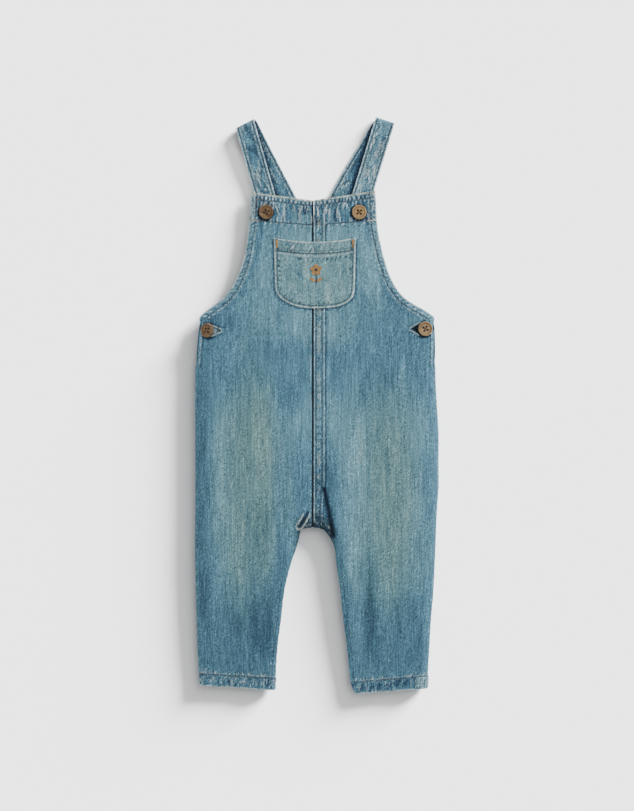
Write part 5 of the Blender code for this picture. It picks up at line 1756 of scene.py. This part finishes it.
class DUNGAREES_OT_fronts(bpy.types.Operator):
    """Both front panels, with their seams, hems and wash."""

    bl_idname = "dungarees.fronts"
    bl_label = "Fronts"

    def execute(self, context):
        return each_side(front_shell, "front_")


class DUNGAREES_OT_backs(bpy.types.Operator):
    """Both back panels, which lie under the fronts."""

    bl_idname = "dungarees.backs"
    bl_label = "Backs"

    def execute(self, context):
        return each_side(back_shell, "back_")


class DUNGAREES_OT_underlaps(bpy.types.Operator):
    """The strips of the back's side edges that reach under the fronts at the side openings."""

    bl_idname = "dungarees.underlaps"
    bl_label = "Side underlaps"

    BELOW = 92.0  # the armhole's end, above which the front's edge turns away
    TUCKED = (40.0, 30.0, 20.0, 10.0)

    def execute(self, context):
        return each_side(self.strip, "side_underlap_")

    def strip(self, side):
        """One strip, which follows the front's turned edge from the back's first TUCKED columns on."""
        y = np.linspace(*UNDERLAP_Y, 40)
        line = FRONT_EDGE[side][FRONT_EDGE[side][:, 1] < self.BELOW]
        line = line[np.argsort(line[:, 1])]
        edge = np.interp(y, line[:, 1], line[:, 0])
        fold = fold_at(y)
        turns = 1 - np.cos(np.radians(np.concatenate([self.TUCKED, np.linspace(2.0, 90.0, 16)])))
        tail = fold[:, None] + np.linspace(0.0, UNDERLAP_TAIL[-1], 6)[1:]
        x = edge[:, None] - SIDES[side] * np.append(fold[:, None] * turns, tail, axis=1)
        yy = np.broadcast_to(y[:, None], x.shape)
        lower = np.arange(x.shape[1]) < len(self.TUCKED)
        (low_z, low_n), (high_z, high_n) = back_face(x, yy), front_face(x, yy)
        height, normal = np.where(lower, low_z, high_z), np.where(lower[:, None], low_n, high_n)
        gap = np.where(lower, 2 * GAP, LOOSE_GAP)[:, None]
        outer = stacked(x, yy, height) - normal * (CLOTH + gap)
        wear = Wear(x)
        wear.fade += 0.25 * noise2(x / 3.0, yy / 12.0, 66)
        return shell("side_underlap_" + side + "_cloth", outer, outer - normal * CLOTH, wear)


class DUNGAREES_OT_pocket(bpy.types.Operator):
    """The patch pocket on the bib."""

    bl_idname = "dungarees.pocket"
    bl_label = "Pocket"

    def execute(self, context):
        u = np.sin(np.linspace(-np.pi / 2, np.pi / 2, 96))
        u = 0.65 * u + 0.35 * np.linspace(-1, 1, 96)
        v = np.linspace(0, 1, 84)
        v = np.unique(np.concatenate([v, np.linspace(0.14, 0.24, 12), np.linspace(0.94, 1.0, 8)]))
        uu, vv = np.meshgrid(u, v)
        x, y = pocket_plan(uu, vv)
        height, normal = pocket_height(x, y)
        wear = Wear.over(pocket_wear, x, y)
        base = stacked(x, y, height)
        rounded = soft_edge(np.minimum(nearest_on(POCKET_RIM, x, y)[0], pocket_top_line(x) - y), 0.7)
        outer = base + normal * (CLOTH + wear.height - rounded)[..., None]
        cloth_piece(shell("pocket_cloth", outer, base, wear), "pocket")
        return {"FINISHED"}


class DUNGAREES_OT_straps(bpy.types.Operator):
    """Both shoulder straps, each one strip folded over at the shoulder."""

    bl_idname = "dungarees.straps"
    bl_label = "Straps"

    SEEDS = {"right": 101, "left": 121}
    UNDER = 500.0  # how far on the lower face's wear is drawn, so that it differs from the upper face's

    def execute(self, context):
        return each_side(self.strap, "strap_")

    def strap(self, side):
        centres, halves, normal, run = strap_frame(side)
        middle = centres[:, None] + halves[:, None] * STRAP_ACROSS[None, :, None]
        across = np.broadcast_to(STRAP_ACROSS * STRAP_WIDTH / 2, middle.shape[:2])
        along = np.broadcast_to(run[:, None], middle.shape[:2])
        upper = strap_wear(across, along, self.SEEDS[side], STRAP_HOLES[side])
        upper.fade += STRAP_WASH[side]
        lower = strap_wear(across, along + self.UNDER, self.SEEDS[side] + 7)
        from_front = np.abs((middle - centres[0]) @ unit(halves[0]))
        shade = STRAP_SHADE[side] * smooth(19.0, 10.0, from_front)
        lower.darkened(1.25 * shade)
        lower.unrubbed(shade)
        thick = STRAP_THICK / 2 - 0.12 - soft_edge(STRAP_WIDTH / 2 - np.abs(across), 0.8)
        top = middle + normal[:, None] * (thick + upper.height * 0.7)[..., None]
        low = middle - normal[:, None] * (thick + lower.height * 0.7)[..., None]
        low[..., 2] = np.maximum(low[..., 2], 0.0)
        return shell("strap_" + side + "_cloth", top, low, upper, under=lower)


class DUNGAREES_OT_stitching(bpy.types.Operator):
    """Rows of stitches on the fronts, the pocket and the straps."""

    bl_idname = "dungarees.stitching"
    bl_label = "Stitching"

    def execute(self, context):
        for side in SIDES:
            sew("stitching_tonal_" + side, self.tonal(side), "blue", 3)
            sew("stitching_tan_" + side, self.contrast(side), "tan", 4)
            sew("stitching_strap_" + side, self.strap(side), "blue", 5)
        cross = line_between(*((CENTRE_FRONT + x, CROTCH_STITCH_Y) for x in CROTCH_STITCH_X))
        sew("stitching_crotch", [on_front("left", cross)], "cream", 8)
        half = POCKET_WIDTH / 2 - 3
        x = np.linspace(POCKET_X - half, POCKET_X + half, 80)
        rows = [stacked(x, pocket_top_line(x) - POCKET_BAND + up) for up in (0.0, POCKET_BAND_ROWS)]
        sew("stitching_pocket", [on_pocket(offset_line(POCKET_RIM, POCKET_STITCH))], "blue", 6)
        sew("stitching_pocket_band", [on_pocket(row) for row in rows], "tan", 7)
        return {"FINISHED"}

    def tonal(self, side):
        """Armhole hem, and on the left the felled centre front seam and the hem's patch."""
        armhole = inward(edge_line(FRONTS[side], "out", BAND_ROW, ARMHOLE_ROWS[1] - 0.3, 12), side)
        lines = [offset_line(armhole, ARMHOLE_STITCH)]
        if side == "left":
            for row in FELL_STITCHES:
                for top, bottom in FELL_STITCH_RUNS:
                    y = np.linspace(top, bottom, int(top - bottom))
                    lines.append(stacked(CENTRE_FRONT + row / fell_narrowing(y), y))
            lines += [line_between((x, HEM_PATCH_RUN[0]), (x, HEM_PATCH_RUN[1])) for x in HEM_PATCH_ROWS]
        return [on_front(side, line) for line in lines]

    def contrast(self, side):
        """Bib band, its turned-down side and the leg hem."""
        a, b = row_ends(side, STITCH_ROW, BAND_SIDE_STITCH, 0.2)
        low = row_ends(side, BAND_ROW, BAND_SIDE_STITCH, 0.2)[0]
        ends = [row_ends(side, BAND_ROW, 0.8, 0.2), (a, b), (a, low), row_ends(side, HEM_ROW, 0.8, 0.8)]
        return [on_front(side, line_between(*pair), TAN_LIFT) for pair in ends]

    def strap(self, side):
        """A row inside each edge, on both faces."""
        centres, halves, normal, _ = strap_frame(side)
        share, lift = 1 - STRAP_STITCH / (STRAP_WIDTH / 2), STRAP_THICK / 2 - 0.30
        return [
            (centres + halves * across + normal * lift * face, normal * face)
            for across in (-share, share)
            for face in (1, -1)
        ]


class DUNGAREES_OT_bartacks(bpy.types.Operator):
    """Bartacks at the pocket's corners, threads at the bib band's ends and round the side buttonholes."""

    bl_idname = "dungarees.bartacks"
    bl_label = "Bartacks and buttonholes"

    def execute(self, context):
        tacks = [line_between((x - 0.95, y), (x + 0.95, y - 0.25), 0.5) for x in BARTACK_X for y in BARTACK_Y]
        lay_threads("bartacks_pocket", [on_pocket(line, 0.42) for line in tacks], "orange", 0.24, 11)
        ends = []
        for side in SIDES:
            a, b = row_ends(side, BAND_ROW, 0.9)
            line = line_between(a, a + unit(b - a) * 8.5, 0.5)
            ends += [on_front(side, line + (0.0, down), 0.2) for down in (-0.25, 0.25)]
        lay_threads("band_end_threads", ends, "cream", 0.3, 13)
        for side in SIDES:
            lay_threads("buttonhole_side_" + side, self.edges(side), "sky", 0.2, 12)
        return {"FINISHED"}

    def edges(self, side):
        """Close threads square to the lips of a side's slit."""
        b = dict(zip(BUTTON_COLUMNS, BUTTONS["side_" + side]))
        start, widening = BUTTONHOLES[side]
        lines = []
        for reach in np.arange(-0.4, 9.0, 0.46):
            x = b["x"] + SIDES[side] * (reach - start)
            gape = SLIT + widening * max(reach, 0.0)
            for way in (-1, 1):
                y0, y1 = b["y"] + way * (gape + 0.1), b["y"] + way * (gape + 1.5)
                lines.append(on_front(side, line_between((x, y0), (x - 0.2 * SIDES[side], y1), 0.4)))
        return lines


class DUNGAREES_OT_motif(bpy.types.Operator):
    """A small embroidered flower on the pocket."""

    bl_idname = "dungarees.motif"
    bl_label = "Embroidered flower"

    CENTRE = np.array((-1.0, 136.4))
    HEART = 1.3
    PETAL_LONG, PETAL_WIDE = 4.6, 2.1
    PETALS = [math.radians(92 + 72 * k) for k in range(5)]

    def execute(self, context):
        """Satin stitch for petals and leaves, each thread square to its run; then the dark lines."""
        lines, dark = [], []
        for angle in self.PETALS:
            out = np.array([math.cos(angle), math.sin(angle)])
            over = np.array([-out[1], out[0]])
            for t in np.linspace(0.08, 0.97, 15):
                half = self.PETAL_WIDE * math.sin(math.pi * t**0.8) ** 0.7
                at = self.CENTRE + out * (self.HEART + self.PETAL_LONG * t)
                thread = line_between(at - over * half, at + over * half + out * 0.3, 0.45)
                lines.append(on_pocket(thread, 0.42 + 0.28 * math.sin(math.pi * t)))
            turn = np.linspace(0, math.pi, 14)[:, None]
            aside = self.PETAL_WIDE * 1.06 * np.maximum(np.sin(turn), 0.0) ** 0.7
            rim = self.CENTRE + out * (self.HEART + self.PETAL_LONG * turn / math.pi) + over * aside
            dark.append(on_pocket(rim, 0.36))
        turn = np.linspace(0, 2 * math.pi, 22)
        for radius in (0.35, 0.75, 1.15):
            dark.append(on_pocket(self.CENTRE + radius * stacked(np.cos(turn), np.sin(turn)), 0.75))
        t = np.linspace(0, 1, 14)
        for shift in (-0.3, 0.0, 0.3):
            dark.append(on_pocket(self.CENTRE + stacked(shift + 0.4 * np.sin(t * 2.2), -5.4 - 8.4 * t), 0.4))
        for way in (-1, 1):
            tilt = np.array([-0.5 * way, 0.85])
            for t in np.linspace(0.08, 0.96, 17):
                at = self.CENTRE + np.array([way * (0.6 + 5.6 * t), -11.6 + 3.4 * t])
                half = 1.5 * math.sin(math.pi * t) ** 0.8
                lines.append(on_pocket(line_between(at - tilt * half, at + tilt * half, 0.4), 0.45))
        lay_threads("motif_petals", lines, "orange", 0.23, 21)
        lay_threads("motif_outline", dark, "brown", 0.17, 22)
        return {"FINISHED"}


def button_frame(name):
    """Where a button sits: its centre and the unit vector out of its face."""
    b = dict(zip(BUTTON_COLUMNS, BUTTONS[name]))
    height, normal = front_face(b["x"], b["y"])
    raised = BAND_RELIEF if name.startswith("shoulder") else 0.0
    lean = math.radians(b["lean"])
    out = np.array([1.0 if b["x"] > 0 else -1.0, 0.0, 0.0])
    face = unit(normal * math.cos(lean) + (out - normal * (out @ normal)) * math.sin(lean))
    clear = GAP + BUTTON_RADIUS * 0.8 * math.sin(lean)
    centre = np.array([b["x"], b["y"], float(height)]) + normal * raised + face * clear
    return b, centre, face, clear


def standing(centre, face, turn):
    """The matrix that stands a Z-up shape on a place, facing out of the cloth, in metres."""
    tilt_y = math.atan2(face[0], face[2])
    tilt_x = -math.asin(float(np.clip(face[1], -1, 1)))
    place = Matrix.Translation(Vector(centre) * MM)
    turned = Matrix.Rotation(tilt_y, 4, "Y") @ Matrix.Rotation(tilt_x, 4, "X")
    return place @ turned @ Matrix.Rotation(math.radians(turn), 4, "Z")


def turned_mesh(name, profile, sides):
    """A closed solid of revolution about Z from (radius, height) points, bottom to top, in metres."""
    bm = bmesh.new()
    rings = []
    for radius, height in profile:
        angles = [2 * math.pi * k / sides for k in range(sides)]
        rings.append([bm.verts.new((radius * math.cos(a), radius * math.sin(a), height)) for a in angles])
    for low, high in zip(rings, rings[1:]):
        for k in range(sides):
            m = (k + 1) % sides
            bm.faces.new([low[k], low[m], high[m], high[k]])
    bm.faces.new(rings[0][::-1])
    bm.faces.new(rings[-1])
    mesh = bpy.data.meshes.new(name)
    bm.to_mesh(mesh)
    bm.free()
    return mesh


@made_once("materials")
def horn(name):
    """Streaked horn-look plastic with a soft polish. tone sets a whole button lighter, and rim paints shade
    into the groove round the dish and into the holes.
    """
    buttons = chosen("buttons")
    material, tree, shader = new_material(name, 0.38)
    place = object_place(tree)
    wide, fine = streaks(tree, place, (170, 300, 170), 3.0), streaks(tree, place, (700, 1500, 700), 2.0)
    share = plus(tree, times(tree, wide, 0.8), times(tree, fine, 0.3))
    share = plus(tree, share, mask(tree, "tone"))
    colour = mixed(tree, between(tree, share, 0.35, 0.75), tuple(buttons.dark), tuple(buttons.light))
    darkest = (*[c * 0.55 for c in buttons.dark[:3]], 1.0)
    colour = mixed(tree, times(tree, mask(tree, "rim"), 0.75), colour, darkest)
    tree.links.new(colour, shader.inputs["Base Color"])
    relief(tree, shader, fine, 0.12, 0.0002)
    return material


class DUNGAREES_OT_buttons(bpy.types.Operator):
    """Four-hole buttons with a raised rim, sewn on with crossed thread."""

    bl_idname = "dungarees.buttons"
    bl_label = "Buttons"

    def execute(self, context):
        for name in BUTTONS:
            finished(self.button(name), horn("horn_button"), "button_" + name)
            self.thread(name)
        return {"FINISHED"}

    def profile(self, thick):
        """Half section, in metres: a flat back, a round rim, and a dished middle."""
        r = BUTTON_RADIUS * MM
        rim = [(0.965, 0.24), (0.99, 0.34), (1.0, 0.48), (0.995, 0.66), (0.97, 0.82), (0.93, 0.94)]
        dish = [(0.885, 1.0), (0.84, 0.985), (0.80, 0.93), (0.765, 0.85), (0.735, 0.80), (0.70, 0.79)]
        deck = [(0.55, 0.775), (0.3, BUTTON_DECK), (0.02, BUTTON_DECK)]
        points = [(0.02, 0.0), (0.72, 0.0), (0.86, 0.08), (0.93, 0.16), *rim, *dish, *deck]
        return [(radius * r, height * thick) for radius, height in points]

    def button(self, name):
        buttons = chosen("buttons")
        b, centre, face, _ = button_frame(name)
        disc = linked("button_" + name + "_horn", turned_mesh(name, self.profile(buttons.thickness), 56))
        spots = [Vector((math.cos(a), math.sin(a), 0.0)) * buttons.hole_circle for a in HOLE_ANGLES]
        bore = ((buttons.hole, -0.003), (buttons.hole, 0.008))
        drills = [linked("drill", turned_mesh("drill", bore, 16)) for _ in spots]
        for drill, spot in zip(drills, spots):
            drill.data.transform(Matrix.Translation(spot))
            cut = disc.modifiers.new("hole", "BOOLEAN")
            cut.object, cut.operation = drill, "DIFFERENCE"
        evaluated = disc.evaluated_get(bpy.context.evaluated_depsgraph_get())
        mesh = bpy.data.meshes.new_from_object(evaluated)
        for helper in (disc, *drills):
            bpy.data.objects.remove(helper)
        # rim: painted shade, full in the holes and fading out either side of the groove at three quarters of
        # the radius.
        rim = []
        for v in mesh.vertices:
            in_hole = min((v.co.xy - spot.xy).length for spot in spots) < buttons.hole * 1.04
            from_groove = abs(v.co.xy.length / MM - 0.75 * BUTTON_RADIUS)
            rim.append(1.33 if in_hole else max(0.0, 1 - from_groove / 0.7))
        for key, values in (("rim", rim), ("tone", [BUTTON_TONES[name]] * len(rim))):
            mesh.attributes.new(key, "FLOAT", "POINT").data.foreach_set("value", values)
        mesh.transform(standing(centre, face, b["turn"]))
        mesh.shade_smooth()
        mesh.set_sharp_from_angle(angle=math.radians(38))
        return linked("button_" + name + "_horn", mesh)

    def thread(self, name):
        """Crossed thread through the holes, and the shank down through the buttonhole."""
        buttons = chosen("buttons")
        b, centre, face, clear = button_frame(name)
        place = standing(centre, face, b["turn"])
        deck, dive = buttons.thickness * BUTTON_DECK, Vector((0, 0, 0.0016))
        lines = []
        for k in range(2):
            out = Vector((math.cos(HOLE_ANGLES[k]), math.sin(HOLE_ANGLES[k]), 0.0))
            for shift in (-0.00022, 0.00022):
                over = Vector((-out.y, out.x, 0.0)) * shift + Vector((0, 0, deck + 0.00012 * (1 + k)))
                points = [out * buttons.hole_circle * t + over for t in (-0.9, -0.4, 0.4, 0.9)]
                lines.append([points[0] - dive, *points, points[-1] - dive])
        reach = (clear + SHANK_REACH[name.split("_")[0]]) * MM
        for k in range(5):
            angle = 2 * math.pi * k / 5
            x, y = 0.0007 * math.cos(angle), 0.0007 * math.sin(angle)
            lines.append([Vector((x, y, 0.0003)), Vector((-y * 0.8, x * 0.8, -reach))])
        placed = [(np.array([tuple(place @ p) for p in line]) / MM, face) for line in lines]
        lay_threads("button_thread_" + name, placed, "umber", 0.15, 31)


FLOOR_HALF = 6000.0
FLOOR_Z = -0.25
# Heading from +X, height above the floor and spread of each sun, in degrees.
KEY_SUN = (40.0, 46.0, 50.0)
BACKDROP_SUN = (42.0, 15.0, 24.0)
CAMERA_AIM = 1.0  # how far above the garment's middle the picture's is
CAMERA_FOCUS_Z = 12.0  # height at which the picture is view_height tall


class DUNGAREES_OT_stage(bpy.types.Operator):
    """A plain pale floor, soft light from the upper right and a camera straight above."""

    bl_idname = "dungarees.stage"
    bl_label = "Stage"

    def execute(self, context):
        self.floor()
        self.lights(context)
        self.camera(context)
        return {"FINISHED"}

    def floor(self):
        corners = [(x * FLOOR_HALF, y * FLOOR_HALF, FLOOR_Z) for x, y in ((-1, -1), (1, -1), (1, 1), (-1, 1))]
        made = linked("floor", mesh_of("floor", corners, [(0, 1, 2, 3)]))
        material, tree, shader = new_material("pale_floor", 0.95)
        tone = streaks(tree, object_place(tree), (3, 3, 3), 1.0)
        colour = tuple(chosen("stage").floor)
        darker = (*[c * 0.985 for c in colour[:3]], 1.0)
        tree.links.new(mixed(tree, tone, colour, darker), shader.inputs["Base Color"])
        shader.inputs["Specular IOR Level"].default_value = 0.0
        made.data.materials.append(material)

    def lights(self, context):
        stage = chosen("stage")
        self.sun(context, "key", stage.key, *KEY_SUN)
        low = self.sun(context, "backdrop", stage.backdrop, *BACKDROP_SUN)
        lit = bpy.data.collections.new("lit_by_backdrop")
        lit.objects.link(bpy.data.objects["floor"])
        low.light_linking.receiver_collection = lit
        world = bpy.data.worlds.new("even_sky")
        world.use_nodes = True
        sky = world.node_tree.nodes["Background"]
        sky.inputs["Color"].default_value = (1.0, 1.0, 1.0, 1.0)
        sky.inputs["Strength"].default_value = stage.sky
        context.scene.world = world

    def sun(self, context, name, power, *degrees):
        light = bpy.data.lights.new(name, "SUN")
        heading, height, light.angle = (math.radians(a) for a in degrees)
        light.energy = power
        made = bpy.data.objects.new(name, light)
        flat = math.cos(height)
        out = Vector((flat * math.cos(heading), flat * math.sin(heading), math.sin(height)))
        made.rotation_euler = out.to_track_quat("Z", "Y").to_euler()
        context.scene.collection.objects.link(made)
        return made

    def camera(self, context):
        stage = chosen("stage")
        lens = bpy.data.cameras.new("above")
        lens.lens = stage.lens
        made = bpy.data.objects.new("above", lens)
        distance = stage.view_height * stage.lens / lens.sensor_width
        made.location = (0.0, CAMERA_AIM * MM, distance + CAMERA_FOCUS_Z * MM)
        context.scene.collection.objects.link(made)
        context.scene.camera = made


class DUNGAREES_OT_declare(bpy.types.Operator):
    """Makes nothing: it states no cut, lie or sewing."""

    bl_idname = "dungarees.declare"
    bl_label = "State the cuts"

    def execute(self, context):
        return {"FINISHED"}


class DUNGAREES_PT_sidebar(bpy.types.Panel):
    """Lists the pieces and their settings."""

    bl_label = "Dungarees"
    bl_space_type = "VIEW_3D"
    bl_region_type = "UI"
    bl_category = "Dungarees"

    def draw(self, context):
        for made in PIECES:
            self.layout.operator(made.bl_idname)
        for key in SETTINGS:
            group = getattr(context.scene, key)
            for name in group.__annotations__:
                self.layout.prop(group, name)


SETTINGS = {
    "dungarees_cloth": DungareesCloth,
    "dungarees_sewing": DungareesSewing,
    "dungarees_buttons": DungareesButtons,
    "dungarees_stage": DungareesStage,
}
PIECES = (
    DUNGAREES_OT_fronts,
    DUNGAREES_OT_backs,
    DUNGAREES_OT_underlaps,
    DUNGAREES_OT_pocket,
    DUNGAREES_OT_straps,
    DUNGAREES_OT_stitching,
    DUNGAREES_OT_bartacks,
    DUNGAREES_OT_motif,
    DUNGAREES_OT_buttons,
    DUNGAREES_OT_stage,
    DUNGAREES_OT_declare,
)


def register():
    for made in (*SETTINGS.values(), *PIECES, DUNGAREES_PT_sidebar):
        bpy.utils.register_class(made)
    for key, made in SETTINGS.items():
        setattr(bpy.types.Scene, key, bpy.props.PointerProperty(type=made))


def unregister():
    for key in SETTINGS:
        delattr(bpy.types.Scene, key)
    for made in reversed((*SETTINGS.values(), *PIECES, DUNGAREES_PT_sidebar)):
        bpy.utils.unregister_class(made)


def main():
    register()
    for made in PIECES:
        group, name = made.bl_idname.split(".")
        getattr(getattr(bpy.ops, group), name)()


if __name__ == "__main__":
    main()
